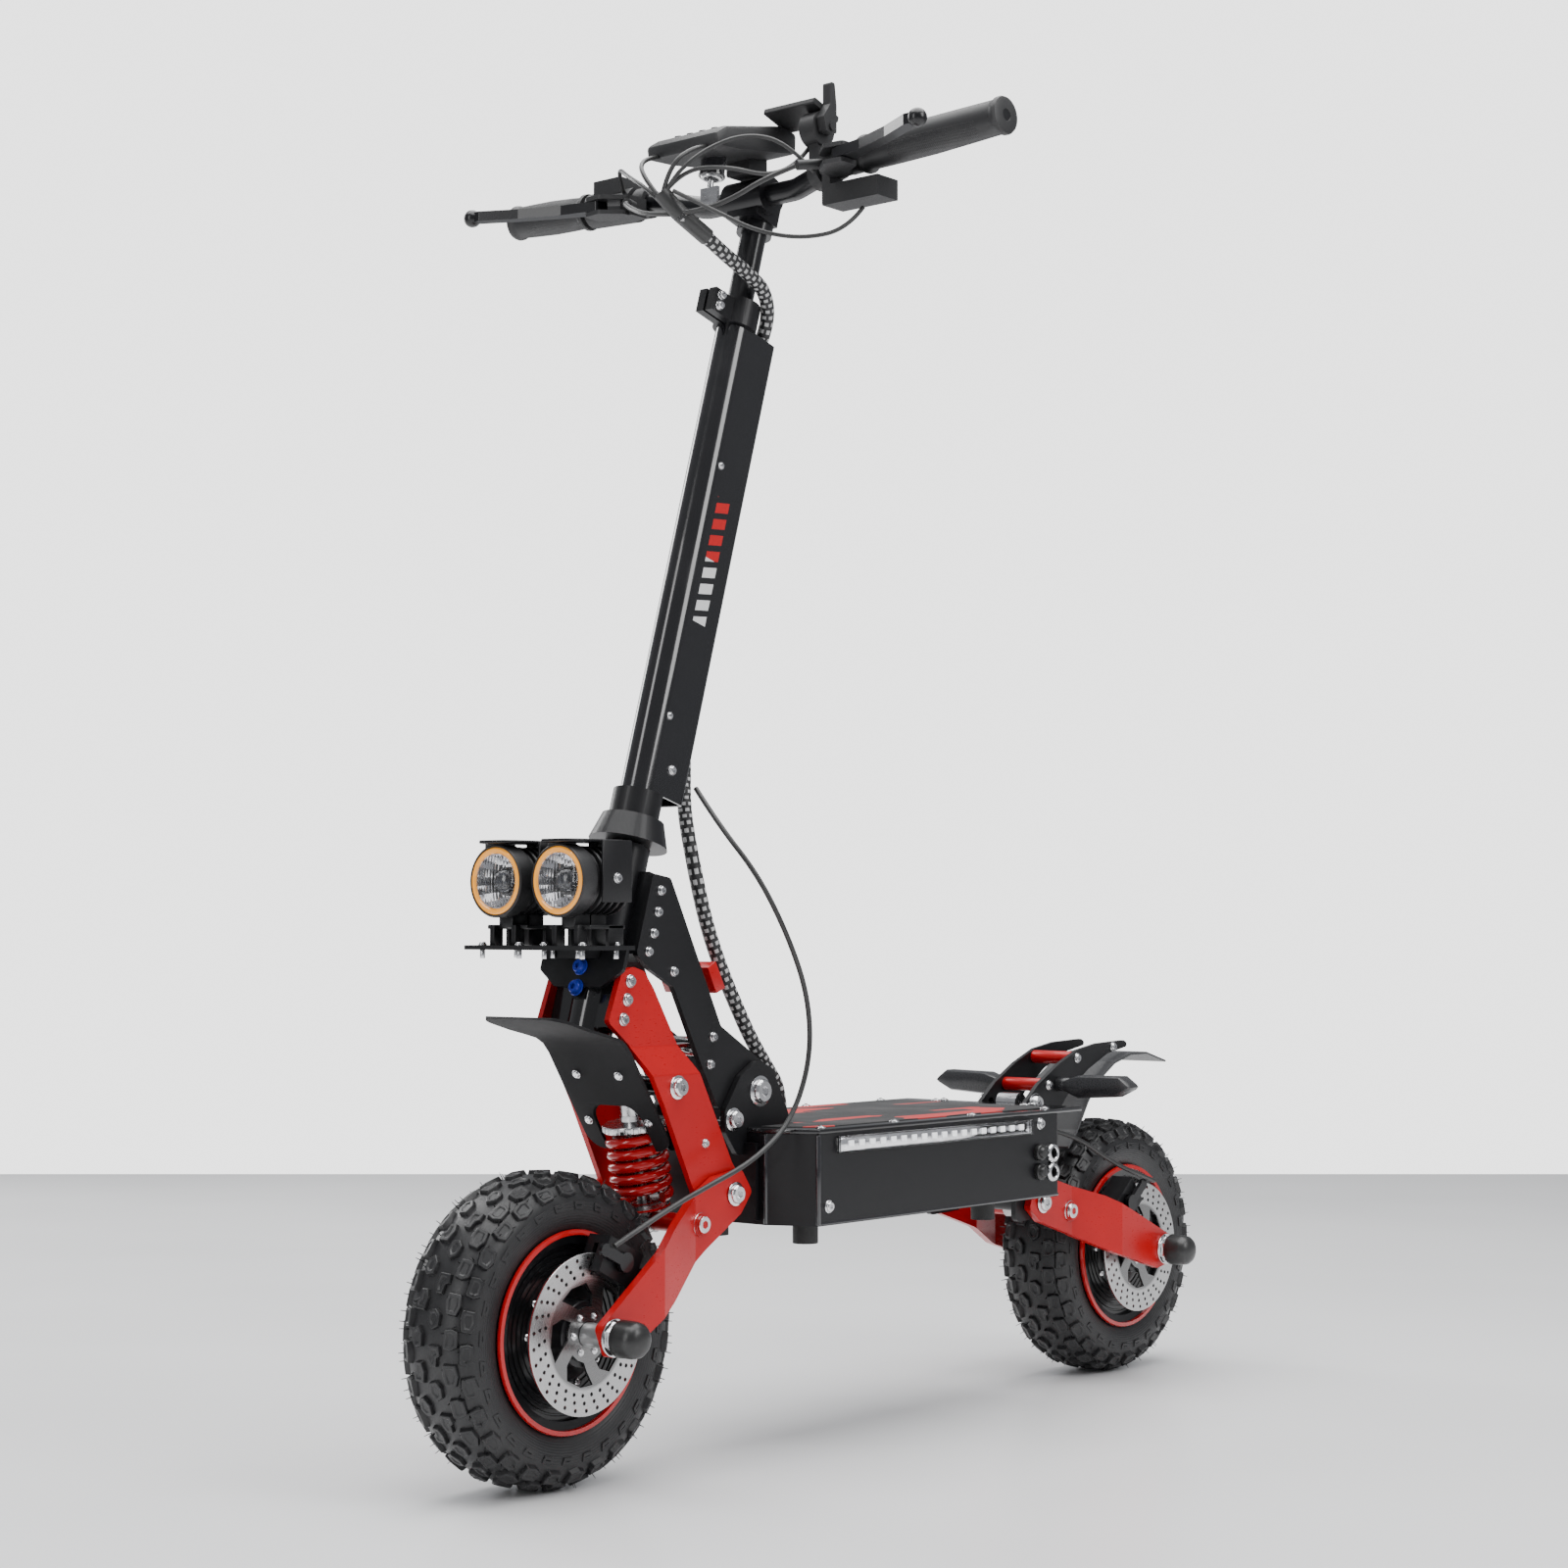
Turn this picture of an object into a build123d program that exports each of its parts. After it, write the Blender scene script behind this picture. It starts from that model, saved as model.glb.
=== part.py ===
from build123d import *
from math import atan2, cos, degrees, hypot, radians, sin
import os

# Electric kick scooter with two hub motors.
# Millimetres. +X is forward, +Y is the rider's left, +Z is up. The origin is on the
# ground, midway between the two axles.

# Wheels
wheelbase = 906.0
tyre_radius = 143.0
tyre_width = 84.0
tread_flat = 56.0
rim_radius = 88.0
rim_half_width = 38.0
hub_radius = 79.0
axle_radius = 7.0
disc_radius = 72.5
disc_thickness = 2.5
disc_offset = 58.0

# Fits and clearances
running_clearance = 0.05
seat_clearance = 0.2
body_clearance = 0.6

# Steering axis: a point on it and its rake from the vertical
steer_x = 387.0
steer_z = 421.0
rake = 16.5

# Stations along the steering axis, measured up it from that point
fork_foot = -14.0
fork_shoulder = 55.0
head_tube_length = 113.0
sleeve_length = 27.0
column_length = 485.0
inner_tube_reach = 106.0

# Steering column
column_tube_radius = 22.0
steerer_radius = 14.0
head_tube_bore = 18.0
bearing_height = 8.0
cap_radius = 38.0
cap_height = 25.0
stem_half_width = 18.0
stem_box_depth = 46.0
stem_wall = 2.5
inner_tube_radius = 13.0

# Fold pivot on the front of the deck
fold_x = 201.0
fold_z = 348.0
fold_pin_radius = 6.0
stop_x = 240.0
stop_z = 322.6
spacer_place = (264.0, 392.0)
neck_plate_inner = 34.0
plate_thickness = 6.0
bracket_thickness = 6.0

# Deck
deck_front = 219.0
deck_rear = -205.0
deck_half_width = 118.0
deck_bottom = 222.0
deck_top = 314.0
lid_thickness = 5.0
lid_rear = -250.0
deck_wall = 3.0
deck_corner_x = 22.0
deck_corner_y = 48.0
foot_height = 24.0
foot_radius = 12.5
kick_inner = 27.0
kick_thickness = 5.0

# Swing arms, the same part front and rear
front_pivot_x = 264.0
front_pivot_z = 255.0
rear_pivot_x = -244.0
rear_pivot_z = 209.0
pivot_bolt_radius = 6.0
arm_thickness = 8.0
arm_inner = 62.0
arm_axle_inner = 84.0
arm_shock_u = 54.0
arm_shock_v = 3.0
shock_bolt_radius = 5.0

# Dampers and springs
front_shock_x = 335.0
front_shock_z = 358.0
rear_shock_x = -284.0
rear_shock_z = 312.0
eye_radius = 11.0
eye_width = 26.0
damper_radius = 12.0
rod_radius = 6.0
spring_radius = 20.5
spring_wire = 4.0
seat_radius = 24.5
spring_turns = 4.5
lower_seat = 18.0
upper_seat_gap = 42.0
seat_height = 6.0
rod_top_gap = 24.0
open_eye_clearance = 0.5

# Handlebar
bar_radius = 11.0
bar_rise = 24.0
bar_setback = 12.0
bar_half_width = 325.0
bar_forward = 13.0
grip_radius = 17.0
left_grip_start = 150.0
right_grip_start = 215.0
lever_x = 56.0
lever_y = 160.0
lever_pin_radius = 3.0
ball_radius = 9.0
throttle_y = 92.0
switch_y = 112.0
horn_y = 164.0
pod_y = -181.0

# Lamps
lamp_x = 474.0
lamp_y = 40.0
lamp_z = 549.0
lamp_radius = 33.5
lamp_length = 72.0
hex_thickness = 4.0

# Cables
harness_radius = 7.0
cable_radius = 2.5

# Charging socket
socket_radius = 5.5
socket_depth = 14.0

# Cable routes, from point to point
bar_harness = [(285, 16, 1196), (256, 22, 1180), (228, 26, 1164), (198, 27.5, 1152), (168, 26, 1139),
               (150, 15, 1113), (151, 5, 1092)]
left_cable = [(224.5, 110.5, 1238.6), (246, 92, 1226), (262, 66, 1208), (276, 42, 1198), (285, 19, 1196)]
right_cable = [(224.5, -110.5, 1238.6), (250, -90, 1230), (268, -62, 1216), (282, -30, 1203), (288, 6, 1196.5)]
steer_harness = [(260, -8, 733), (252.5, -8, 700), (250, -8, 664), (253, -6, 630), (252, -2, 598),
                 (247, 2, 566)]
fold_harness = [(247, 2, 566), (242.5, 5.6, 537.2), (232, 8, 502), (216, 10, 466), (196, 12, 430),
                (175, 13, 397), (153, 14, 370), (131, 14, 345), (131, 14.1, 314.2)]
front_brake_line = [(262, 18, 640), (272, 56, 604), (254, 90, 556), (226, 104, 498), (196, 104, 440),
                    (190, 102, 380), (214, 98, 322), (266, 96, 288), (330, 94, 268), (386, 92, 250),
                    (440, 80, 222)]
rear_brake_line = [(-209, 36, 292), (-238, 37, 290), (-268, 42, 287), (-298, 53, 282), (-328, 66, 270),
                   (-356, 74, 252), (-390, 81, 236), (-424, 82.5, 226), (-446, 82.5, 219)]

half_base = wheelbase / 2
shield_offset = column_tube_radius + 1.5
fork_plate_inner = 40.0
fork_lower_inner = arm_inner - 1.0 - plate_thickness
arm_axle_outer = arm_axle_inner + arm_thickness
head_foot = fork_shoulder + 1.0
head_top = head_foot + head_tube_length
cap_foot = head_top + 2.0
sleeve_foot = cap_foot + cap_height
sleeve_top = sleeve_foot + sleeve_length
column_top = sleeve_top + column_length
clamp_foot = column_top - 8.0
clamp_height = 36.0
inner_tube_top = column_top + inner_tube_reach
bar_station = inner_tube_top + 34.0
lid_bottom = deck_top - lid_thickness
case_top = lid_bottom


def save(node, *solids):
    """Write one node's solids to its own STEP file."""
    shape = solids[0] if len(solids) == 1 else Compound(children=list(solids))
    export_step(shape, f"parts/{node}.step")


def parts_of(*shapes):
    """The separate solids of several shapes, for a node that is a group."""
    return [solid for shape in shapes for solid in shape.solids()]


def steering(station, forward=0.0):
    """The plane square to the steering axis at a station, +x forward and +y left."""
    lean = radians(rake)
    along = Vector(-sin(lean), 0, cos(lean))
    ahead = Vector(cos(lean), 0, sin(lean))
    origin = Vector(steer_x, 0, steer_z) + along * station + ahead * forward
    return Plane(origin=origin, x_dir=ahead, z_dir=along)


def steer_point(station, forward=0.0, left=0.0):
    """A point given by its station up the steering axis."""
    origin = steering(station, forward).origin
    return Vector(origin.X, left, origin.Z)


def rod(start, end, radius, inner=0.0):
    """A round bar or tube between two points."""
    start = Vector(*start)
    axis = Vector(*end) - start
    plane = Plane(origin=start, z_dir=axis)
    ring = Circle(radius) if inner == 0 else Circle(radius) - Circle(inner)
    return extrude(plane * ring, amount=axis.length)


def pin(x, z, y0, y1, radius, inner=0.0):
    """A round bar or tube across the scooter."""
    return rod((x, y0, z), (x, y1, z), radius, inner)


def block(x0, x1, y0, y1, z0, z1):
    """A rectangular block between two corners."""
    centre = Pos((x0 + x1) / 2, (y0 + y1) / 2, (z0 + z1) / 2)
    return centre * Box(x1 - x0, y1 - y0, z1 - z0)


def side_plate(points, y0, y1, radius=5.0):
    """A flat plate whose outline is drawn in the side view."""
    face = make_face(FilletPolyline(*points, radius=radius, close=True))
    return extrude(Plane.XZ.offset(-y1) * face, amount=y1 - y0, dir=(0, -1, 0))


def top_plate(points, z0, z1, radius=5.0):
    """A flat plate whose outline is drawn in the top view."""
    face = make_face(FilletPolyline(*points, radius=radius, close=True))
    return extrude(Plane.XY.offset(z0) * face, amount=z1 - z0, dir=(0, 0, 1))


def front_plate(points, x0, x1, radius=5.0):
    """A flat plate whose outline is drawn in the front view, as y and z."""
    face = make_face(FilletPolyline(*points, radius=radius, close=True))
    return extrude(Plane.YZ.offset(x0) * face, amount=x1 - x0, dir=(1, 0, 0))


def other_side(shape):
    """The same piece on the right side."""
    return mirror(shape, about=Plane.XZ)


def tube_along(points, radii, radius):
    """A round cable along straight runs joined by arcs."""
    path = FilletPolyline(*points, radius=radii)
    section = Plane(origin=path @ 0, z_dir=path % 0) * Circle(radius)
    return sweep(section, path=path)


def corner_radii(points):
    """The largest arc that each corner's two runs allow."""
    radii = []
    for before, here, after in zip(points, points[1:], points[2:]):
        back = Vector(*before) - Vector(*here)
        on = Vector(*after) - Vector(*here)
        turn = radians(180 - back.get_angle(on))
        radii.append(0.45 * min(back.length, on.length) / (sin(turn / 2) / cos(turn / 2)))
    return radii


def cable(points, radius):
    """A cable whose bends are as large as its runs allow."""
    return tube_along(points, corner_radii(points), radius)


def bolt(x, z, y, head, side=1, length=5.0):
    """A bolt head with its washer, standing on a face at y."""
    washer = pin(x, z, y, y + side * 1.5, head * 1.25)
    return washer + pin(x, z, y + side * 1.5, y + side * length, head)


class Arm:
    """A swing arm's place: its pivot and the direction to its axle."""

    def __init__(self, pivot_x, pivot_z, axle_x):
        self.x = pivot_x
        self.z = pivot_z
        self.axle_x = axle_x
        self.length = hypot(axle_x - pivot_x, tyre_radius - pivot_z)
        self.side = 1 if axle_x > pivot_x else -1
        self.ux = (axle_x - pivot_x) / self.length
        self.uz = (tyre_radius - pivot_z) / self.length

    def at(self, along, above):
        """The side-view point that is so far along the arm and above it."""
        x = self.x + self.ux * along - self.side * self.uz * above
        z = self.z + self.uz * along + self.side * self.ux * above
        return (x, z)


front_arm = Arm(front_pivot_x, front_pivot_z, half_base)
rear_arm = Arm(rear_pivot_x, rear_pivot_z, -half_base)


# --- Wheels and brakes -------------------------------------------------------

def tyre(axle_x):
    half = tyre_width / 2
    flat = tread_flat / 2
    bead = rim_half_width - 7
    shoulder = Vector(tyre_radius - 9, half - 4)
    edge = Vector(tyre_radius, flat)
    outline = [
        Line((rim_radius, -bead), (rim_radius, bead)),
        ThreePointArc((rim_radius, bead), (rim_radius + 24, half), (shoulder.X, shoulder.Y)),
        Line((shoulder.X, shoulder.Y), (edge.X, edge.Y)),
        Line((edge.X, edge.Y), (edge.X, -edge.Y)),
        Line((edge.X, -edge.Y), (shoulder.X, -shoulder.Y)),
        ThreePointArc((shoulder.X, -shoulder.Y), (rim_radius + 24, -half), (rim_radius, -bead)),
    ]
    ring = revolve(make_face(outline), axis=Axis.Y)
    return Pos(axle_x, 0, tyre_radius) * ring


def hub(axle_x):
    """The motor's shell, with the rim, its two lips and the disc's boss."""
    bore = axle_radius + running_clearance
    seat = rim_radius - seat_clearance
    lip = rim_radius + 3
    boss_end = disc_offset - disc_thickness / 2
    points = [
        (bore, -46), (26, -46), (26, -34), (hub_radius, -30), (hub_radius, -rim_half_width),
        (lip, -rim_half_width - 2), (lip, -rim_half_width + 1), (seat, -rim_half_width + 1),
        (seat, rim_half_width - 1), (lip, rim_half_width - 1), (lip, rim_half_width + 2),
        (hub_radius, rim_half_width), (hub_radius, 30), (30, 34), (30, boss_end), (bore, boss_end),
    ]
    shell = revolve(make_face(Polyline(*points, close=True)), axis=Axis.Y)
    return Pos(axle_x, 0, tyre_radius) * shell


def brake_disc(axle_x):
    """The disc, with eight windows and two rings of vent holes."""
    back = disc_offset - disc_thickness / 2
    disc = pin(0, 0, back, back + disc_thickness, disc_radius, axle_radius + 6)
    window = pin(0, 0, back - 1, back + disc_thickness + 1, 54, 30)
    spoke = block(26, 60, back - 2, back + disc_thickness + 2, -6, 6)
    spokes = [Rot(0, step * 60, 0) * spoke for step in range(6)]
    disc = disc - (window - spokes)
    hole = pin(66, 0, back - 1, back + disc_thickness + 1, 2.6)
    holes = [Rot(0, step * 15, 0) * hole for step in range(24)]
    inner = pin(59, 0, back - 1, back + disc_thickness + 1, 2.0)
    inners = [Rot(0, step * 15 + 7.5, 0) * inner for step in range(24)]
    return Pos(axle_x, 0, tyre_radius) * (disc - holes - inners)


def axle(arm):
    """The axle with its spacers, nuts and the two rubber caps over its ends."""
    inner = disc_offset + disc_thickness / 2 + body_clearance
    shaft = pin(0, 0, -arm_axle_outer - 14, arm_axle_outer + 14, axle_radius)
    left = pin(0, 0, inner, arm_axle_inner, 11)
    right = pin(0, 0, -arm_axle_inner, -46 - body_clearance, 11)
    nut = pin(0, 0, arm_axle_outer, arm_axle_outer + 8, 12)
    sleeve = pin(0, 0, arm_axle_outer + 8, arm_axle_outer + 18, 16)
    dome = Pos(0, arm_axle_outer + 18, 0) * (Sphere(16) & block(-17, 17, 0, 17, -17, 17))
    cap = sleeve + dome
    return Pos(arm.axle_x, 0, tyre_radius) * (shaft + left + right + nut + other_side(nut) + cap + other_side(cap))


def swing_arms(arm):
    """Both arms, and the bolt that ties them at the shock's lower eye."""
    tail = arm.length + 14
    shape = [(-22, -12), (-20, 14), (14, 29), (95, 31), (145, 26), (tail - 4, 17), (tail, -12),
             (tail - 22, -24), (130, -26), (62, -21), (2, -21)]
    blank = side_plate([arm.at(u, v) for u, v in shape], arm_inner - 4, arm_axle_outer + 4, 6.0)
    steps = [(-60, arm_inner), (60, arm_inner), (126, arm_axle_inner), (270, arm_axle_inner),
             (270, arm_axle_outer), (122, arm_axle_outer), (56, arm_inner + arm_thickness),
             (-60, arm_inner + arm_thickness)]
    jog = top_plate([(arm.x + arm.side * d, y) for d, y in steps], 60, 360, 5.0)
    left = blank & jog
    left -= pin(arm.x, arm.z, 50, 80, pivot_bolt_radius + running_clearance)
    left -= pin(arm.axle_x, tyre_radius, 80, 100, axle_radius)
    x, z = arm.at(arm_shock_u, arm_shock_v)
    left -= pin(x, z, 50, 80, shock_bolt_radius)
    head = arm_inner + arm_thickness
    tie = pin(x, z, -head, head, shock_bolt_radius)
    tie += pin(x, z, eye_width / 2 + body_clearance, arm_inner, 9)
    tie += pin(x, z, -arm_inner, -eye_width / 2 - body_clearance, 9)
    tie += bolt(x, z, head, 9)
    tie += bolt(x, z, -head, 9, -1)
    return [left, other_side(left), tie]


def caliper_place(arm):
    """The caliper's place on the disc's edge above the arm, turned to face the axle."""
    x, z = arm.at(arm.length - 57, 37)
    turn = degrees(atan2(x - arm.axle_x, z - tyre_radius))
    return Pos(x, 0, z) * Rot(0, turn, 0)


def caliper(arm):
    """The caliper's body across the disc, its two pads and its bracket to the arm."""
    gap = disc_thickness / 2 + 1.4
    inner = disc_offset - 12
    outer = disc_offset + 14
    body = block(-24, 24, inner, outer, -16, 18)
    body -= block(-30, 30, disc_offset - gap, disc_offset + gap, -20, 10)
    body -= pin(0, 2, outer - 4, outer + 1, 9)
    body += pin(0, 2, outer - 4, outer + 2, 4)
    shoes = caliper_place(arm) * body
    x, z = arm.at(arm.length - 57, 6)
    drop = block(x - 12, x + 12, outer - 6, outer, z - 8, z + 20)
    foot = block(x - 12, x + 12, outer - 6, arm_axle_inner, z - 8, z + 4)
    return shoes + drop + foot


def caliper_lever(arm):
    """The short lever on the caliper that the brake cable pulls."""
    face = disc_offset + 14 + 2 + body_clearance
    tip = arm.side * 30
    lever = pin(0, 2, face, face + 4, 9) + block(min(tip, 0), max(tip, 0), face, face + 4, -3, 7)
    lever += pin(tip, 2, face, face + 4, 6)
    return caliper_place(arm) * lever


# --- Dampers -----------------------------------------------------------------

class Shock:
    """A damper's place between its lower eye on the arms and its upper eye."""

    def __init__(self, arm, upper_x, upper_z):
        x, z = arm.at(arm_shock_u, arm_shock_v)
        self.foot = Vector(x, 0, z)
        self.head = Vector(upper_x, 0, upper_z)
        self.axis = (self.head - self.foot).normalized()
        self.length = (self.head - self.foot).length

    def plane(self, along):
        return Plane(origin=self.foot + self.axis * along, x_dir=(0, 1, 0), z_dir=self.axis)

    def cylinder(self, start, end, radius, inner=0.0):
        ring = Circle(radius) if inner == 0 else Circle(radius) - Circle(inner)
        return extrude(self.plane(start) * ring, amount=end - start)


def eye(centre, hole):
    half = eye_width / 2
    return pin(centre.X, centre.Z, -half, half, eye_radius, hole)


def shock_body(shock):
    """The damper's body with its upper eye and the adjuster ring that the spring bears on."""
    seat = shock.length - upper_seat_gap
    body = shock.cylinder(seat - 22, shock.length - 4, damper_radius)
    body += shock.cylinder(seat, seat + seat_height, seat_radius)
    body += eye(shock.head, 0)
    body -= pin(shock.head.X, shock.head.Z, -20, 20, shock_bolt_radius + running_clearance)
    return body - shock.cylinder(seat - 23, shock.length - rod_top_gap, rod_radius + running_clearance)


def shock_rod(shock):
    """The damper's rod with its lower eye and the spring's lower seat."""
    body = shock.cylinder(4, shock.length - rod_top_gap - 10, rod_radius)
    body += shock.cylinder(lower_seat - 6, lower_seat, seat_radius)
    body += eye(shock.foot, 0)
    return body - pin(shock.foot.X, shock.foot.Z, -20, 20, shock_bolt_radius + open_eye_clearance)


def shock_spring(shock):
    """The coil spring between the two seats."""
    start = lower_seat + spring_wire + 0.3
    end = shock.length - upper_seat_gap - spring_wire - 0.3
    coil = Helix(pitch=(end - start) / spring_turns, height=end - start, radius=spring_radius)
    section = Plane(origin=coil @ 0, z_dir=coil % 0) * Circle(spring_wire)
    return shock.plane(start).location * sweep(section, path=coil)


front_shock = Shock(front_arm, front_shock_x, front_shock_z)
rear_shock = Shock(rear_arm, rear_shock_x, rear_shock_z)


# --- Deck --------------------------------------------------------------------

def deck_outline(inset=0.0, rear=deck_rear):
    """The deck's outline from above, with its two front corners cut off."""
    half = deck_half_width - inset
    front = deck_front - inset
    corner = front - deck_corner_x
    nose = deck_half_width - deck_corner_y - inset * 0.5
    return [(rear + inset, -half), (corner, -half), (front, -nose), (front, nose), (corner, half),
            (rear + inset, half)]


def rear_bracket():
    """The two plates and the tube behind the deck that carry the rear arms."""
    plate = side_plate([(deck_rear - 1, 300), (-250, 300), (-268, 240), (-266, 192), (deck_rear - 1, 190)],
                       fork_lower_inner, fork_lower_inner + plate_thickness, 8.0)
    tube = pin(rear_pivot_x, rear_pivot_z, -fork_lower_inner, fork_lower_inner, 11)
    bracket = plate + other_side(plate) + tube
    return bracket - pin(rear_pivot_x, rear_pivot_z, -70, 70, pivot_bolt_radius)


def deck_case():
    """The aluminium battery box, open at the top, with the rear arm bracket welded on."""
    shell = top_plate(deck_outline(), deck_bottom, case_top, 4.0)
    shell -= top_plate(deck_outline(deck_wall), deck_bottom + deck_wall, case_top + 1, 3.0)
    for x, y in socket_places():
        shell -= pin(x, y, deck_half_width - 6, deck_half_width + 6, socket_radius + 3)
    weld = block(deck_rear - 2, deck_rear + 1, -fork_lower_inner - 6, fork_lower_inner + 6, 226, 298)
    return shell + rear_bracket() + weld


def socket_places():
    """The two charging sockets on the left side, near the rear."""
    return [(-191.0, 268.0), (-191.0, 248.0)]


def switch_places():
    return [(-167.0, 270.0), (-167.0, 250.0)]


def deck_lid():
    """The lid, which runs past the box at the rear."""
    return top_plate(deck_outline(0, lid_rear), lid_bottom, deck_top, 4.0)


def side_ports():
    """Two charging sockets and two round push-in covers beside them."""
    ports = []
    for x, z in socket_places():
        body = pin(x, z, deck_half_width - 18, deck_half_width, socket_radius + 3 - seat_clearance)
        body += pin(x, z, deck_half_width, deck_half_width + 2.5, socket_radius + 4.5)
        ports.append(body - pin(x, z, deck_half_width + 2.5 - socket_depth, deck_half_width + 3, socket_radius))
    for x, z in switch_places():
        ports.append(pin(x, z, deck_half_width, deck_half_width + 4, 8) + pin(x, z, deck_half_width + 4,
                                                                             deck_half_width + 8, 5))
    return ports


def led_strips():
    strip = block(-150, 169, deck_half_width, deck_half_width + 3.5, 291, 305)
    return [strip, other_side(strip)]


def rubber_feet():
    """Four feet under the deck."""
    feet = []
    for x in (145, -150):
        for y in (-58, 58):
            feet.append(Pos(x, y, deck_bottom - foot_height / 2) * Cylinder(foot_radius, foot_height))
    return feet


def deck_screws():
    """The lid's screws, the bracket's screws and the side bolts."""
    heads = []
    for side in (-1, 1):
        y = side * (deck_half_width - 8)
        for x in (-190, -60, 70, 185):
            heads.append(Pos(x, y, deck_top + 1) * Cylinder(4, 2))
        for x in (-170, 205 - deck_corner_x):
            heads.append(bolt(x, 240 if x > 0 else 300, side * deck_half_width, 5, side, 4))
    for x in (-225, -240):
        for y in (-60, 60):
            heads.append(Pos(x, y, deck_top + 1) * Cylinder(4, 2))
    return heads


def battery_pack():
    inside = deck_wall + 4
    return block(deck_rear + 110, deck_front - 40, -deck_half_width + inside, deck_half_width - inside,
                 deck_bottom + deck_wall, case_top - 8)


def motor_controllers():
    """One controller for each motor, side by side behind the battery."""
    box = block(deck_rear + 12, deck_rear + 100, 5, deck_half_width - 24, deck_bottom + deck_wall, 270)
    return [box, other_side(box)]


def hinge_bracket():
    """The bracket on the deck's front that carries the fold pivot."""
    inner = neck_plate_inner + plate_thickness + 1
    face = deck_front + body_clearance
    shape = [(152, deck_top), (face, deck_top), (face, 288), (234, 288), (252, 312), (252, 332),
             (229, 364), (205, 378), (182, 370), (168, 344)]
    cheek = side_plate(shape, inner, inner + bracket_thickness, 8.0)
    flange = block(face, face + 5, -62, 62, 226, 300)
    cheek -= block(100, face, 0, 60, 250, deck_top)
    cheeks = cheek + other_side(cheek)
    cheeks -= pin(fold_x, fold_z, -60, 60, fold_pin_radius)
    cheeks -= pin(stop_x, stop_z, -60, 60, 5)
    return flange + cheeks


def pivot_bolts():
    """The fold pivot pin and the stop bolt that the neck rests on, with their heads."""
    outer = neck_plate_inner + plate_thickness + 1 + bracket_thickness
    bolts = []
    for x, z, radius, head in ((fold_x, fold_z, fold_pin_radius, 12), (stop_x, stop_z, 5, 9)):
        shank = pin(x, z, -outer, outer, radius)
        bolts.append(shank + bolt(x, z, outer, head, 1, 7) + bolt(x, z, -outer, head, -1, 7))
    outer = arm_inner + arm_thickness
    shank = pin(rear_pivot_x, rear_pivot_z, -outer - 1, outer + 1, pivot_bolt_radius)
    head = bolt(rear_pivot_x, rear_pivot_z, outer + body_clearance, 9)
    bolts.append(shank + head + other_side(head))
    outer = kick_inner + kick_thickness
    shank = pin(rear_shock_x, rear_shock_z, -outer, outer, shock_bolt_radius)
    head = bolt(rear_shock_x, rear_shock_z, outer, 9, 1, 7)
    bolts.append(shank + head + other_side(head))
    return bolts


def kick_bracket():
    """The two curved plates behind the deck with the two red bars between them."""
    shape = [(deck_rear - 3, 262), (deck_rear - 3, 296), (-251, 302), (-292, 333), (-330, 353), (-369, 368),
             (-409, 374), (-463, 376), (-476, 370), (-429, 362), (-388, 345), (-352, 322), (-318, 290),
             (-276, 268)]
    plate = side_plate(shape, kick_inner, kick_inner + kick_thickness, 3.0)
    plate -= pin(rear_shock_x, rear_shock_z, 0, 60, shock_bolt_radius)
    bars = [pin(x, z, -kick_inner, kick_inner, 7) for x, z in kick_bar_places()]
    return [plate, other_side(plate)] + bars


def kick_bar_places():
    return [(-367.0, 359.0), (-311.0, 331.0)]


def rear_mudguard():
    """The curved sheet over the rear wheel, fixed between the kick plates."""
    line = [(-334, 262), (-352, 280), (-374, 312), (-394, 334), (-428, 353), (-462, 362), (-495, 362),
            (-536, 351)]
    upper = [(x - 1.2, z - 2.4) for x, z in reversed(line)]
    return side_plate(line + upper, -42, 42, 0.6)


def turn_signals():
    """The arrow-shaped signals, one each side, on their short stalks."""
    shape = [(kick_inner + kick_thickness, 330), (59, 318), (117, 322), (136, 331), (120, 342), (59, 341)]
    lamp = front_plate(shape, -340, -322, 3.0)
    return [lamp, other_side(lamp)]


# --- Neck --------------------------------------------------------------------

def neck_plates():
    """The two plates between the head tube and the fold pivot."""
    shape = [(346, 557), (322, 553), (310, 530), (250, 412), (182, 372), (176, 336), (196, 323), (218, 325),
             (254, 334), (276, 372), (318, 451), (350, 467), (369, 482)]
    plate = side_plate(shape, neck_plate_inner, neck_plate_inner + plate_thickness, 5.0)
    plate -= pin(fold_x, fold_z, 0, 60, fold_pin_radius + running_clearance)
    return [plate, other_side(plate)]


def head_tube():
    """The tube that holds the headset, with the block that the plates bolt to."""
    tube = extrude(steering(head_foot) * Circle(column_tube_radius), amount=head_tube_length)
    flank = steering(head_foot + 8, -16) * Rectangle(30, 2 * neck_plate_inner)
    tube += extrude(flank, amount=80)
    return tube - extrude(steering(head_foot - 1) * Circle(head_tube_bore), amount=head_tube_length + 2)


def headset_bearings():
    ring = Circle(head_tube_bore) - Circle(steerer_radius + running_clearance)
    return [extrude(steering(station) * ring, amount=bearing_height)
            for station in (head_foot + 1, head_top - bearing_height - 1)]


def neck_bolts():
    """The neck's bolts, the two spacer tubes between its plates and the harness clip."""
    inner = neck_plate_inner
    outer = neck_plate_inner + plate_thickness
    places = [(336, 541), (340, 521), (346, 501), (353, 484), (318, 465), (262, 402), (266, 376)]
    heads = []
    for x, z in places:
        heads.append(bolt(x, z, outer, 4, 1, 4))
        heads.append(bolt(x, z, -outer, 4, -1, 4))
    heads.append(pin(fold_x, fold_z, -inner, inner, 16, fold_pin_radius + running_clearance))
    heads.append(pin(*spacer_place, -inner, inner, 10))
    heads.append(harness_clip())
    return heads


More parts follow.
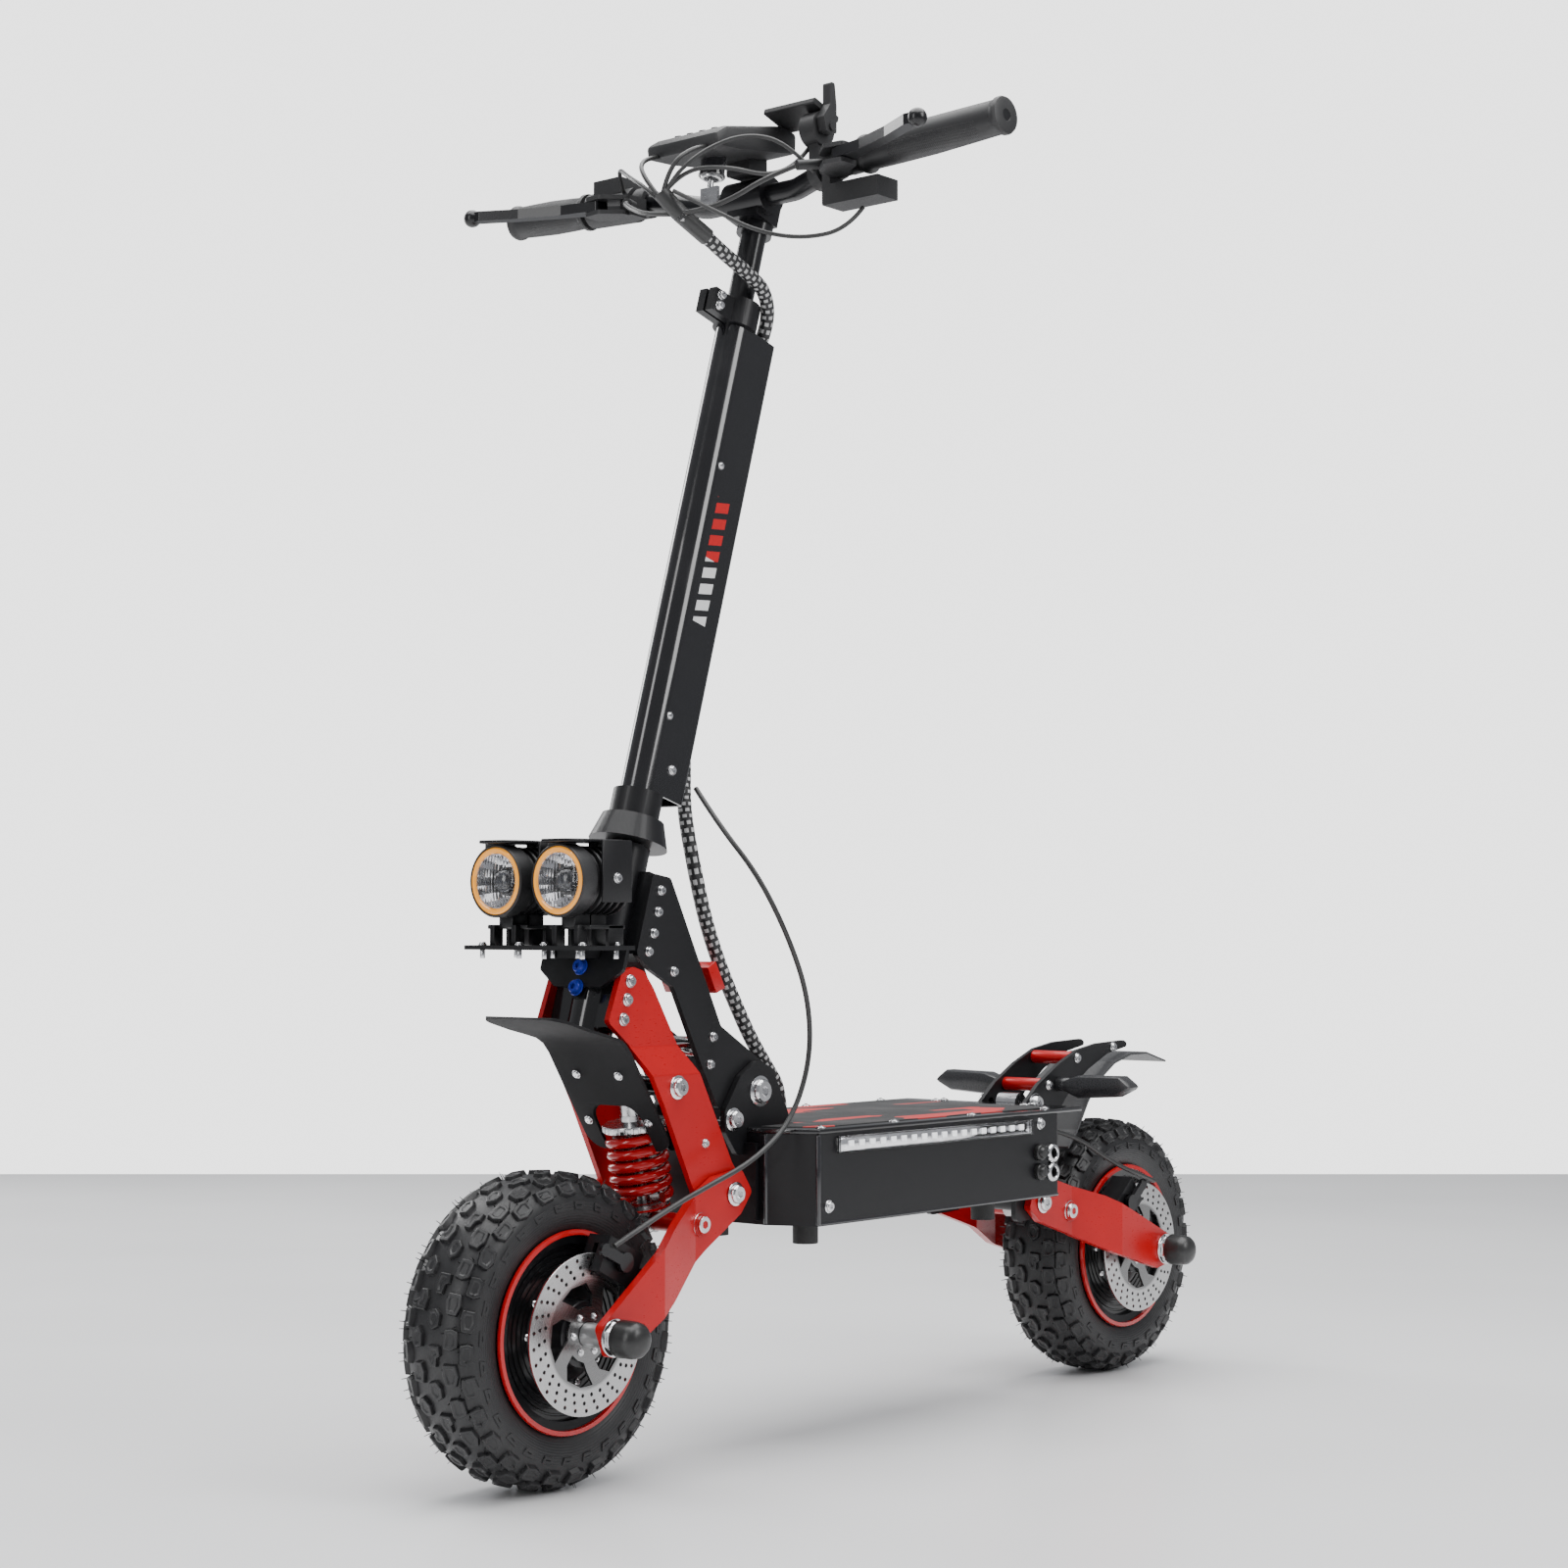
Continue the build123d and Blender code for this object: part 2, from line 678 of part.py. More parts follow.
def harness_clip():
    """The ring on the neck that holds the harness where its two lengths meet."""
    start = Vector(*steer_harness[-1])
    along = (start - Vector(*steer_harness[-2])).normalized()
    ring = rod(start - along * 6, start + along * 6, harness_radius + 3, harness_radius + seat_clearance)
    reach = harness_radius + 1.5
    stay = block(start.X - 3, start.X + 3, start.Y + reach, neck_plate_inner, start.Z - 4, start.Z + 4)
    foot = side_plate([(start.X - 6, start.Z - 6), (start.X + 20, start.Z - 18), (start.X + 64, start.Z - 46),
                       (start.X + 64, start.Z - 30), (start.X + 20, start.Z + 2), (start.X - 6, start.Z + 6)],
                      neck_plate_inner - 3, neck_plate_inner, 2.0)
    return ring + stay + foot


# --- Fork and steering column -------------------------------------------------

def fork_column():
    """The column below the head tube, the crown block and the steerer through it."""
    column = extrude(steering(fork_foot) * Circle(column_tube_radius), amount=fork_shoulder - fork_foot)
    column += extrude(steering(fork_foot + 4) * Rectangle(26, 2 * fork_plate_inner), amount=50)
    column += extrude(steering(fork_shoulder) * Circle(steerer_radius), amount=sleeve_top - fork_shoulder)
    upper = (front_shock_x, front_shock_z)
    near = eye_width / 2 + body_clearance
    column += pin(*upper, near, fork_lower_inner, 9, shock_bolt_radius)
    return column + pin(*upper, -fork_lower_inner, -near, 9, shock_bolt_radius)


def fork_plates():
    """The two red plates from the crown down to the arms' pivot, bent outwards half way."""
    shape = [(379, 470), (395, 466), (413, 420), (385, 398), (352, 340), (308, 252), (286, 234), (262, 232),
             (243, 243), (241, 262), (258, 284), (309, 380), (352, 450), (365, 466)]
    blank = side_plate(shape, 30, 70, 5.0)
    inner = fork_lower_inner
    steps = [(fork_plate_inner, 480), (fork_plate_inner, 394), (inner, 368), (inner, 220),
             (inner + plate_thickness, 220), (inner + plate_thickness, 370), (fork_plate_inner + plate_thickness,
                                                                              396),
             (fork_plate_inner + plate_thickness, 480)]
    left = blank & front_plate(steps, 200, 440, 4.0)
    left -= pin(front_pivot_x, front_pivot_z, 40, 80, pivot_bolt_radius)
    left -= pin(front_shock_x, front_shock_z, 40, 80, shock_bolt_radius)
    return [left, other_side(left)]


def stem_column():
    """The round tube with the square cable box behind it, in one extrusion."""
    box = Pos(-stem_box_depth / 2, 0) * Rectangle(stem_box_depth, 2 * stem_half_width)
    hollow_width = 2 * (stem_half_width - stem_wall)
    hollow = Pos(-stem_box_depth / 2 - 6, 0) * Rectangle(stem_box_depth - 12 - 2 * stem_wall, hollow_width)
    bore = Circle(inner_tube_radius + running_clearance)
    outer = fillet((Circle(stem_half_width) + box).vertices().group_by(Axis.X)[0], 5)
    base = extrude(steering(sleeve_foot) * Circle(stem_half_width), amount=column_top - sleeve_foot)
    column = extrude(steering(sleeve_top) * (outer - hollow), amount=column_length)
    column = column + base
    column -= extrude(steering(sleeve_top + 4) * bore, amount=column_length + 4)
    slot = extrude(steering(292, -stem_box_depth) * Pos(0, -8) * Rectangle(14, 17), amount=52)
    return column - slot - extrude(steering(sleeve_foot - 1) * Circle(steerer_radius), amount=sleeve_length + 1)


def stem_collars():
    """The dust cap, the base sleeve and the clamp at the top of the column."""
    cap = loft([steering(cap_foot) * Circle(cap_radius), steering(sleeve_foot) * Circle(stem_half_width + 12)])
    cap -= extrude(steering(cap_foot - 1) * Circle(steerer_radius), amount=cap_height + 2)
    sleeve = extrude(steering(sleeve_foot) * (Circle(stem_half_width + 6) - Circle(stem_half_width)),
                     amount=sleeve_length - 1)
    top = steering(column_top)
    ring = extrude(top * Circle(stem_half_width + 4), amount=clamp_height - 8)
    ear = extrude(top * Pos(stem_half_width + 12, 0) * Rectangle(34, 22), amount=clamp_height - 12)
    clamp = ring + ear
    clamp -= extrude(top * Pos(stem_half_width + 18, 0) * Rectangle(40, 3), amount=60)
    clamp -= extrude(steering(column_top - 1) * Circle(inner_tube_radius + running_clearance), amount=60)
    return [cap, sleeve, clamp]


def steering_bolts():
    """Every bolt that turns with the steering."""
    bolts = []
    for side in (-1, 1):
        outer = side * (fork_plate_inner + plate_thickness)
        for x, z in ((384, 457), (388, 440), (393, 422)):
            bolts.append(bolt(x, z, outer, 5, side, 3))
        outer = side * (fork_lower_inner + plate_thickness)
        bolts.append(bolt(297, 304, outer, 3.5, side, 3))
        bolts.append(bolt(front_shock_x, front_shock_z, outer, 9, side, 7))
        bolts.append(bolt(front_pivot_x, front_pivot_z, side * (arm_inner + arm_thickness + body_clearance), 9,
                          side))
        edge = side * stem_half_width
        for station in (300, 560):
            place = steer_point(station, -2)
            bolts.append(bolt(place.X, place.Z, edge, 3, side, 2.5))
        place = steer_point(sleeve_top + 28, -20)
        bolts.append(bolt(place.X, place.Z, edge, 4, side, 3))
    reach = arm_inner + arm_thickness + body_clearance
    bolts.append(pin(front_pivot_x, front_pivot_z, -reach, reach, pivot_bolt_radius))
    outer = fork_lower_inner + plate_thickness
    bolts.append(pin(front_shock_x, front_shock_z, -outer, outer, shock_bolt_radius))
    for station in (23, 43):
        start = steer_point(station, shield_offset + hex_thickness)
        end = steer_point(station, shield_offset + hex_thickness + 6)
        bolts.append(rod((start.X, 0, start.Z), (end.X, 0, end.Z), 6.5))
    for station in (column_top + 7, column_top + 18):
        place = steer_point(station, stem_half_width + 21)
        bolts.append(pin(place.X, place.Z, -16, -11, 4))
        bolts.append(pin(place.X, place.Z, 11, 16, 4))
    return bolts


def front_fender():
    """The bent sheet ahead of the front shock, with its brim over the tyre."""
    line = [(480, 424), (430, 409), (392, 402), (344, 326), (325, 300)]
    under = [(x + 2.6, z - 2.0) for x, z in reversed(line)]
    sheet = side_plate(line + under, -52, 52, 1.2)
    sheet -= block(300, 362, -27, 27, 290, 343)
    corner = block(300, 336, 40, 60, 290, 312)
    return sheet - corner - other_side(corner)


def headlight_bracket():
    """The pointed plate on the column, the bar across it and the two lamp yokes."""
    plate = Plane(origin=steer_point(8, shield_offset), x_dir=(0, 1, 0), z_dir=steering(0).x_dir)
    shape = [(-53, 54), (53, 54), (53, 32), (30, 16), (0, 6), (-30, 16), (-53, 32)]
    face = make_face(FilletPolyline(*[(y, z) for y, z in shape if z != 6], radius=4, close=True))
    shield = extrude(plate * face, amount=hex_thickness)
    bar_x = lamp_x - 60
    bar = block(bar_x, lamp_x, -80, 80, 486, 490)
    bar -= block(bar_x + 14, lamp_x - 12, -70, -8, 480, 495)
    bar -= block(bar_x + 14, lamp_x - 12, 8, 70, 480, 495)
    strut = block(394, bar_x + 6, -20, 20, 478, 490)
    spacer = extrude(steering(14, shield_offset - 4) * Rectangle(8, 16), amount=34)
    spacer -= extrude(steering(10) * Circle(column_tube_radius), amount=42)
    return shield + bar + strut + spacer


def headlight_bodies():
    """The two lamp bodies, each with its front ring, cooling ribs, yoke and brow."""
    bodies = []
    for y in (-lamp_y, lamp_y):
        back = lamp_x - lamp_length
        body = rod((back + 6, y, lamp_z), (lamp_x - 8, y, lamp_z), lamp_radius - 6)
        for step in range(5):
            x = back + 8 + step * 9
            body += rod((x, y, lamp_z), (x + 4, y, lamp_z), lamp_radius - 2)
        body += rod((lamp_x - 10, y, lamp_z), (lamp_x, y, lamp_z), lamp_radius)
        body -= rod((lamp_x - 6, y, lamp_z), (lamp_x + 1, y, lamp_z), lamp_radius - 7)
        body += block(back + 14, back + 34, y - 5, y + 5, 490, lamp_z - lamp_radius + 8)
        body += block(back + 6, lamp_x + 6, y - 22, y + 22, lamp_z + lamp_radius + 1, lamp_z + lamp_radius + 4)
        body += block(back + 10, back + 26.5, y - 5, y + 5, lamp_z + lamp_radius - 9, lamp_z + lamp_radius + 2)
        bodies.append(body)
    return bodies


def headlight_lenses():
    return [rod((lamp_x - 5, y, lamp_z), (lamp_x - 1, y, lamp_z), lamp_radius - 7.2) for y in (-lamp_y, lamp_y)]


# --- Handlebar ---------------------------------------------------------------

bar_centre = steer_point(bar_station, bar_forward)


def bar_points():
    """The bar's corners from the right end to the left end."""
    x = bar_centre.X
    z = bar_centre.Z
    rise = bar_rise * 0.7
    step = bar_setback * 0.4
    half = bar_half_width - 3
    return [(x + bar_setback, -half, z + bar_rise), (x + step, -126, z + rise), (x, -58, z), (x, 58, z),
            (x + step, 126, z + rise), (x + bar_setback, half, z + bar_rise)]


def on_bar(left):
    """The point on the bar at a place across the scooter, and the bar's direction there."""
    points = [Vector(*p) for p in bar_points()]
    for start, end in zip(points, points[1:]):
        if start.Y <= left <= end.Y:
            share = (left - start.Y) / (end.Y - start.Y)
            return start + (end - start) * share, (end - start).normalized()
    raise ValueError("no bar there")


def around_bar(left, length, radius, inner=bar_radius + running_clearance):
    """A ring of some length around the bar, centred at a place across the scooter."""
    centre, direction = on_bar(left)
    plane = Plane(origin=centre - direction * (length / 2), z_dir=direction)
    ring = Circle(radius) if inner == 0 else Circle(radius) - Circle(inner)
    return extrude(plane * ring, amount=length)


def handlebar():
    return tube_along(bar_points(), 40.0, bar_radius)


def inner_tube():
    """The height tube, with the clamp that holds the bar on top of it."""
    foot = column_top - 200
    tube = extrude(steering(foot) * (Circle(inner_tube_radius) - Circle(inner_tube_radius - 3)),
                   amount=inner_tube_top - foot)
    tube += extrude(steering(inner_tube_top) * Circle(inner_tube_radius + 5), amount=14)
    neck = steering(inner_tube_top + 10, bar_forward / 2) * Rectangle(34, 40)
    tube += extrude(neck, amount=bar_station - inner_tube_top - 10)
    tube += pin(bar_centre.X, bar_centre.Z, -26, 26, 19)
    return tube - pin(bar_centre.X, bar_centre.Z, -40, 40, bar_radius)


def grips():
    rings = []
    for start, side in ((left_grip_start, 1), (right_grip_start, -1)):
        length = bar_half_width - start
        middle = side * (start + length / 2)
        ring = around_bar(middle, length - 4, grip_radius, bar_radius)
        ring += around_bar(side * (bar_half_width - 6), 6, grip_radius + 1.5, bar_radius)
        ring += around_bar(side * (start + 4), 6, grip_radius + 2, bar_radius)
        rings.append(ring)
    return rings


def display():
    """The wedge-shaped dash with its key lock beneath it."""
    x = bar_centre.X
    z = bar_centre.Z
    shape = [(x - 12, z + 54), (x - 8, z + 62), (x + 92, z + 42), (x + 106, z + 26), (x + 96, z + 24),
             (x + 6, z + 36)]
    case = side_plate(shape, -46, 46, 3.0)
    stay = block(x - 6, x + 22, -16, 16, z + 19.5, z + 42)
    lock = rod((x + 58, 0, z + 34), (x + 62, 0, z + 8), 12)
    start, end = (Vector(*place) for place in key_place())
    bore = rod(end, start + (start - end).normalized() * 0.5, 3.2)
    return case + stay + lock - bore


def key_place():
    x = bar_centre.X
    z = bar_centre.Z
    return (x + 60.8, 0, z + 16), (x + 63.6, 0, z - 2)


def ignition_key():
    """The key in the lock, with its flat bow."""
    start, end = key_place()
    shaft = rod(start, end, 3.15)
    return shaft + block(end[0] - 2, end[0] + 2, -11, 11, end[2] - 16, end[2] + 1)


def lever_height():
    return bar_centre.Z + 6


def brake_perch():
    """The left lever's clamp and the fork that its pivot pin stands in."""
    x = bar_centre.X
    z = lever_height()
    perch = around_bar(139, 14, 16)
    arm = [(x + 20, 128), (x + 50, 128), (x + 68, 148), (x + 66, 170), (x + 44, 170), (x + 30, 148),
           (x + 18, 146)]
    perch += top_plate(arm, z + 5 + body_clearance, z + 10, 4.0)
    perch += top_plate(arm, z - 10, z - 5 - body_clearance, 4.0)
    perch += block(x + 22, x + 44, 124, 140, z - 10, z + 10)
    perch -= around_bar(139, 20, bar_radius + running_clearance, 0)
    perch += rod((x + lever_x, lever_y, z - 10), (x + lever_x, lever_y, z + 10), lever_pin_radius)
    return perch + rod((x + 40, 126, z), (x + 64, 112, z - 4), 5)


def left_brake_lever():
    """The lever blade with its ball end."""
    x = bar_centre.X
    z = lever_height()
    shape = [(x + 48, 152), (x + 64, 154), (x + 74, 196), (x + 92, 240), (x + 112, 278), (x + 112, 290),
             (x + 103, 290), (x + 80, 246), (x + 60, 200), (x + 48, 170)]
    blade = top_plate(shape, z - 5, z + 5, 3.0)
    blade += Pos(x + 108, 291, z) * Sphere(ball_radius)
    return blade - rod((x + lever_x, lever_y, z - 20), (x + lever_x, lever_y, z + 20),
                       lever_pin_radius + running_clearance)


def throttle_hub():
    """The throttle's pivot point, above the bar on the left."""
    place, _ = on_bar(throttle_y)
    return place.X + 6, place.Z + 44


def bar_controls():
    """The clamps and housings on the bar: perches, throttle body and switch boxes."""
    perch = brake_perch()
    place, _ = on_bar(throttle_y)
    hub_x, hub_z = throttle_hub()
    ring = around_bar(throttle_y, 12, 15)
    throttle = ring + block(place.X - 6, place.X + 12, throttle_y - 6, throttle_y + 6, place.Z + 12, hub_z - 8)
    throttle += pin(hub_x, hub_z, throttle_y - 10, throttle_y + 8, 17)
    throttle += pin(hub_x, hub_z, throttle_y + 8, throttle_y + 20, 4)
    panel = side_plate([(hub_x - 22, hub_z + 10), (hub_x + 16, hub_z + 22), (hub_x + 14, hub_z + 28),
                        (hub_x - 24, hub_z + 16)], throttle_y - 56, throttle_y + 8, 1.5)
    throttle += panel
    throttle -= around_bar(throttle_y, 20, bar_radius + running_clearance, 0)
    place, _ = on_bar(switch_y)
    switch = around_bar(switch_y, 10, 15)
    switch += block(place.X - 4, place.X + 16, switch_y - 5, switch_y + 5, place.Z - 40, place.Z - 11)
    switch += block(place.X - 8, place.X + 24, switch_y + 2, 182, place.Z - 44, place.Z - 24)
    switch -= around_bar(switch_y, 20, bar_radius + running_clearance, 0)
    switch -= Pos(place.X - 6, horn_y, place.Z - 34) * Rot(0, 90, 0) * Cylinder(5 + 0.4, 8)
    place, _ = on_bar(pod_y)
    pod = around_bar(pod_y, 60, 18)
    pod += block(place.X - 20, place.X + 14, -200, -162, place.Z + 11, place.Z + 28)
    pod -= around_bar(pod_y, 70, bar_radius + running_clearance, 0)
    pod -= Pos(place.X - 18, pod_y, place.Z + 20) * Rot(0, 90, 0) * Cylinder(5 + 0.4, 8)
    return [perch, other_side(perch), throttle, switch, pod]


def throttle_lever():
    """The finger lever beside the throttle body."""
    hub_x, hub_z = throttle_hub()
    shape = [(hub_x - 8, hub_z - 6), (hub_x + 8, hub_z - 6), (hub_x + 12, hub_z + 8), (hub_x + 2, hub_z + 22),
             (hub_x + 2, hub_z + 44), (hub_x - 5, hub_z + 44), (hub_x - 8, hub_z + 22)]
    lever = side_plate(shape, throttle_y + 8 + body_clearance, throttle_y + 18, 2.5)
    return lever - pin(hub_x, hub_z, throttle_y, throttle_y + 30, 4 + running_clearance)


def horn_button():
    place, _ = on_bar(switch_y)
    return Pos(place.X - 8, horn_y, place.Z - 34) * Rot(0, 90, 0) * Cylinder(5, 6)


def mode_button():
    place, _ = on_bar(pod_y)
    return Pos(place.X - 20, pod_y, place.Z + 20) * Rot(0, 90, 0) * Cylinder(5, 6)


# --- Cables ------------------------------------------------------------------

def brake_end(arm):
    """The place on the caliper lever where the brake cable ends."""
    place = caliper_place(arm) * Pos(arm.side * 30, 0, 2)
    return place.position


def main():
    os.makedirs("parts", exist_ok=True)
    save("deck_case", deck_case())
    save("deck_lid", deck_lid())
    save("battery_pack", battery_pack())
    save("motor_controllers", *motor_controllers())
    save("hinge_bracket", hinge_bracket())
    save("pivot_bolts", *parts_of(*pivot_bolts()))
    save("kick_bracket", *kick_bracket())
    save("rear_mudguard", rear_mudguard())
    save("turn_signals", *turn_signals())
    save("led_strips", *led_strips())
    save("side_ports", *side_ports())
    save("rubber_feet", *rubber_feet())
    save("deck_screws", *deck_screws())

    save("neck_plates", *neck_plates())
    save("head_tube", head_tube())
    save("headset_bearings", *headset_bearings())
    save("neck_bolts", *neck_bolts())

    save("fork_column", fork_column())
    save("fork_plates", *fork_plates())
    save("stem_column", stem_column())
    save("stem_collars", *stem_collars())
    save("steering_bolts", *steering_bolts())
    save("front_fender", front_fender())
    save("headlight_bracket", headlight_bracket())
    save("headlight_bodies", *headlight_bodies())
    save("headlight_lenses", *headlight_lenses())

    save("inner_tube", inner_tube())
    save("handlebar", handlebar())
    save("grips", *grips())
    save("display", display())
    save("bar_controls", *bar_controls())
    save("left_brake_lever", left_brake_lever())
    save("right_brake_lever", other_side(left_brake_lever()))
    save("throttle_lever", throttle_lever())
    save("ignition_key", ignition_key())
    save("horn_button", horn_button())
    save("mode_button", mode_button())

    for end, arm, shock in (("front", front_arm, front_shock), ("rear", rear_arm, rear_shock)):
        save(f"{end}_arms", *parts_of(*swing_arms(arm), axle(arm)))
        save(f"{end}_caliper", caliper(arm))
        save(f"{end}_caliper_lever", caliper_lever(arm))
        save(f"{end}_tyre", tyre(arm.axle_x))
        save(f"{end}_hub", hub(arm.axle_x))
        save(f"{end}_disc", brake_disc(arm.axle_x))
        save(f"{end}_shock_body", shock_body(shock))
        save(f"{end}_shock_rod", shock_rod(shock))
        save(f"{end}_spring", shock_spring(shock))

    save("bar_cables", cable(bar_harness, harness_radius), cable(left_cable, cable_radius),
         cable(right_cable, cable_radius))
    save("steer_harness", cable(steer_harness, harness_radius))
    save("fold_harness", cable(fold_harness, harness_radius))
    save("front_brake_line", cable(front_brake_line, cable_radius))
    save("rear_brake_line", cable(rear_brake_line, cable_radius))
    for end, arm in (("front", front_arm), ("rear", rear_arm)):
        print(end, "brake cable ends at", brake_end(arm))


main()
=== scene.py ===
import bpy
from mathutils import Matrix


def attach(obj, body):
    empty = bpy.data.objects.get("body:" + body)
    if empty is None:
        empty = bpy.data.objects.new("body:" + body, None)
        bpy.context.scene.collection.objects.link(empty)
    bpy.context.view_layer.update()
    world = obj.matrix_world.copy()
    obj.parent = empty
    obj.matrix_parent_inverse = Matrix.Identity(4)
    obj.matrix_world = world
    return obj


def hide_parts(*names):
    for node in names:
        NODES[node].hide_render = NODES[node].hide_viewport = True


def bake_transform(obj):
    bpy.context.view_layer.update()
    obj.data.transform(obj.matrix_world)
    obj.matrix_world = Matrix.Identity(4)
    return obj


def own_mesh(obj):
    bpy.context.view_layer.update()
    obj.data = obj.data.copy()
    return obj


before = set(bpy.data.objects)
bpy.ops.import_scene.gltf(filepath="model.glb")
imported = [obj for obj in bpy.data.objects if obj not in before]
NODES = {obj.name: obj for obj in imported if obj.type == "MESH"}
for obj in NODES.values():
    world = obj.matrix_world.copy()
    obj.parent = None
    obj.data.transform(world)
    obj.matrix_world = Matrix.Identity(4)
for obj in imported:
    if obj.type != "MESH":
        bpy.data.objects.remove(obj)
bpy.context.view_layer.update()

import math

import bmesh
import bpy
from bpy.props import BoolProperty, FloatProperty, FloatVectorProperty, IntProperty, PointerProperty
from mathutils import Vector

bl_info = {
    "name": "Electric Kick Scooter",
    "version": (1, 0, 0),
    "blender": (4, 5, 0),
    "location": "3D View > Sidebar > Scooter",
    "description": "Builds the detailed looks of an electric kick scooter around its packed frame",
    "category": "Object",
}

# Sizes are in millimetres where nothing else is said, and MM brings them to Blender's metres.
MM = 0.001

# The wheels
AXLE_X = 453.0
TYRE_RADIUS = 143.0
HUB_RADIUS = 79.0
RIM_RADIUS = 88.0
DISC_OFFSET = 58.0
DISC_RADIUS = 72.5
LUG_SCALE = 0.86

# The tyres' moulding hairs, in metres
HAIR_ROOT = 0.0008
HAIR_TIP = 0.0003
HAIR_SHORT = 0.0045
HAIR_LONG = 0.011

# The axle's ends: squares of radii, and places across
SPACER_SQUARE = 156.0
SPACER_END = 83.9
CAP_SQUARE = 300.0
CAP_START = 92.2

# The steering axis: a point on it, and its lean from the vertical
STEER = Vector((387.0, 0.0, 421.0))
LEAN = math.radians(16.5)
STEER_UP = Vector((-math.sin(LEAN), 0.0, math.cos(LEAN)))
STEER_AHEAD = Vector((math.cos(LEAN), 0.0, math.sin(LEAN)))
COLUMN_TOP = 708.0
STEM_HALF = 18.0

# The bars on the stem, measured up the steering axis, and their pitch
BARS_LOW = 400.0
BARS_MIDDLE = 466.0
BARS_HIGH = 530.0
BAR_PITCH = 17.0

# The handlebar: its middle, and the two ends of its left outer part, measured from there
BAR = Vector((158.62, 0.0, 1237.77))
BAR_OUTER = Vector((4.8, 126.0, 16.8)), Vector((12.0, 322.0, 24.0))

# The grips: where each begins across the bar with its side, where both end, and their length along the
# leaning bar for each millimetre across
GRIP_STARTS = ((150.0, 1), (215.0, -1))
GRIP_END = 319.4
GRIP_STRETCH = 1.0075

# The lamps: the middle of the left one's face, and their size
LAMP = Vector((474.0, 40.0, 549.0))
LAMP_RADIUS = 33.5
LAMP_LENGTH = 72.0

# The deck, and where its side lights begin and end
DECK_TOP = 314.0
DECK_HALF = 118.0
FIRST_BEAD = -132.0
LAST_BEAD = 152.0

# Which way the camera looks, and the floor's reach ahead of it, behind it and across, in metres
CAMERA_LOOK = Vector((-0.7660, -0.6410, 0.0490))
FLOOR_AHEAD = 5.83
FLOOR_BEHIND = 2.6
FLOOR_WIDTH = 14.0

# The shocks: the lower and the upper eye in the side view, what stands below the coil and above it,
# and the dish's height above the lower eye
SHOCKS = {"front": ((312.2, 230.2), (335.0, 358.0)), "rear": ((-295.7, 196.2), (-284.0, 312.0))}
SHOCK_FOOT = 18.0
SHOCK_HEAD = 42.0
DISH_HEIGHT = 12.0


# --- Shader arithmetic ---------------------------------------------------------

def calculation(operation, reflected=False):
    """A method that adds one Math node."""
    def method(self, *others):
        values = (*others, self) if reflected else (self, *others)
        return self.finish.node("ShaderNodeMath", {"operation": operation}, dict(enumerate(values)))
    return method


class Socket:
    """One output of a shader node, which takes part in plain arithmetic."""

    def __init__(self, finish, link):
        self.finish = finish
        self.link = link

    __add__ = calculation("ADD")
    __radd__ = calculation("ADD", reflected=True)
    __sub__ = calculation("SUBTRACT")
    __rsub__ = calculation("SUBTRACT", reflected=True)
    __mul__ = calculation("MULTIPLY")
    __rmul__ = calculation("MULTIPLY", reflected=True)
    __truediv__ = calculation("DIVIDE")
    __lt__ = calculation("LESS_THAN")
    __gt__ = calculation("GREATER_THAN")
    __abs__ = calculation("ABSOLUTE")
    fraction = calculation("FRACT")
    whole = calculation("FLOOR")
    sine = calculation("SINE")
    root = calculation("SQRT")


class Finish:
    """A material that is put together from nodes."""

    def __init__(self, name):
        self.material = bpy.data.materials.new(name)
        self.material.use_nodes = True
        self.tree = self.material.node_tree
        self.tree.nodes.clear()

    def node(self, kind, settings=None, inputs=None, output=0):
        """Any node: its type, its settings and then the values or links of its sockets."""
        new = self.tree.nodes.new(kind)
        for name, value in (settings or {}).items():
            setattr(new, name, value)
        for name, value in (inputs or {}).items():
            if isinstance(value, Socket):
                self.tree.links.new(value.link, new.inputs[name])
            else:
                new.inputs[name].default_value = value
        return Socket(self, new.outputs[output]) if new.outputs else None

    def place(self):
        return self.node("ShaderNodeTexCoord", output="Object")

    def axes(self, place=None):
        """The x, y and z of a place, in millimetres."""
        source = place or self.place()
        parts = [self.node("ShaderNodeSeparateXYZ", {}, {0: source}, axis) for axis in range(3)]
        return [part * 1000.0 for part in parts]

    def noise(self, scale, detail, stretch=(1, 1, 1)):
        place = self.node("ShaderNodeMapping", {}, {"Vector": self.place(), "Scale": stretch})
        return self.node("ShaderNodeTexNoise", {}, {"Vector": place, "Scale": scale, "Detail": detail})

    def cells(self, scale, feature="F1"):
        inputs = {"Vector": self.place(), "Scale": scale}
        return self.node("ShaderNodeTexVoronoi", {"feature": feature}, inputs, "Distance")

    def ramp(self, value, low, high, start=0.0, end=1.0):
        """The value's range from low to high, brought to start and end."""
        inputs = {"Value": value, "From Min": low, "From Max": high, "To Min": start, "To Max": end}
        return self.node("ShaderNodeMapRange", {}, inputs)

    def mix(self, factor, first, second):
        """A colour between two colours."""
        inputs = {"Factor": factor, 6: first, 7: second}
        return self.node("ShaderNodeMix", {"data_type": "RGBA"}, inputs, 2)

    def bump(self, height, depth):
        """A surface normal from a height of 0 to 1 that stands for some depth in millimetres."""
        return self.node("ShaderNodeBump", {}, {"Height": height, "Distance": depth * MM})

    def surface(self, **inputs):
        """Ends the material with a Principled shader, whose sockets are named with _ for a space."""
        named = {name.replace("_", " "): value for name, value in inputs.items()}
        shader = self.node("ShaderNodeBsdfPrincipled", {}, named)
        self.node("ShaderNodeOutputMaterial", {}, {"Surface": shader})
        return self.material


def shade(colour, factor):
    return (*[channel * factor for channel in colour[:3]], 1)


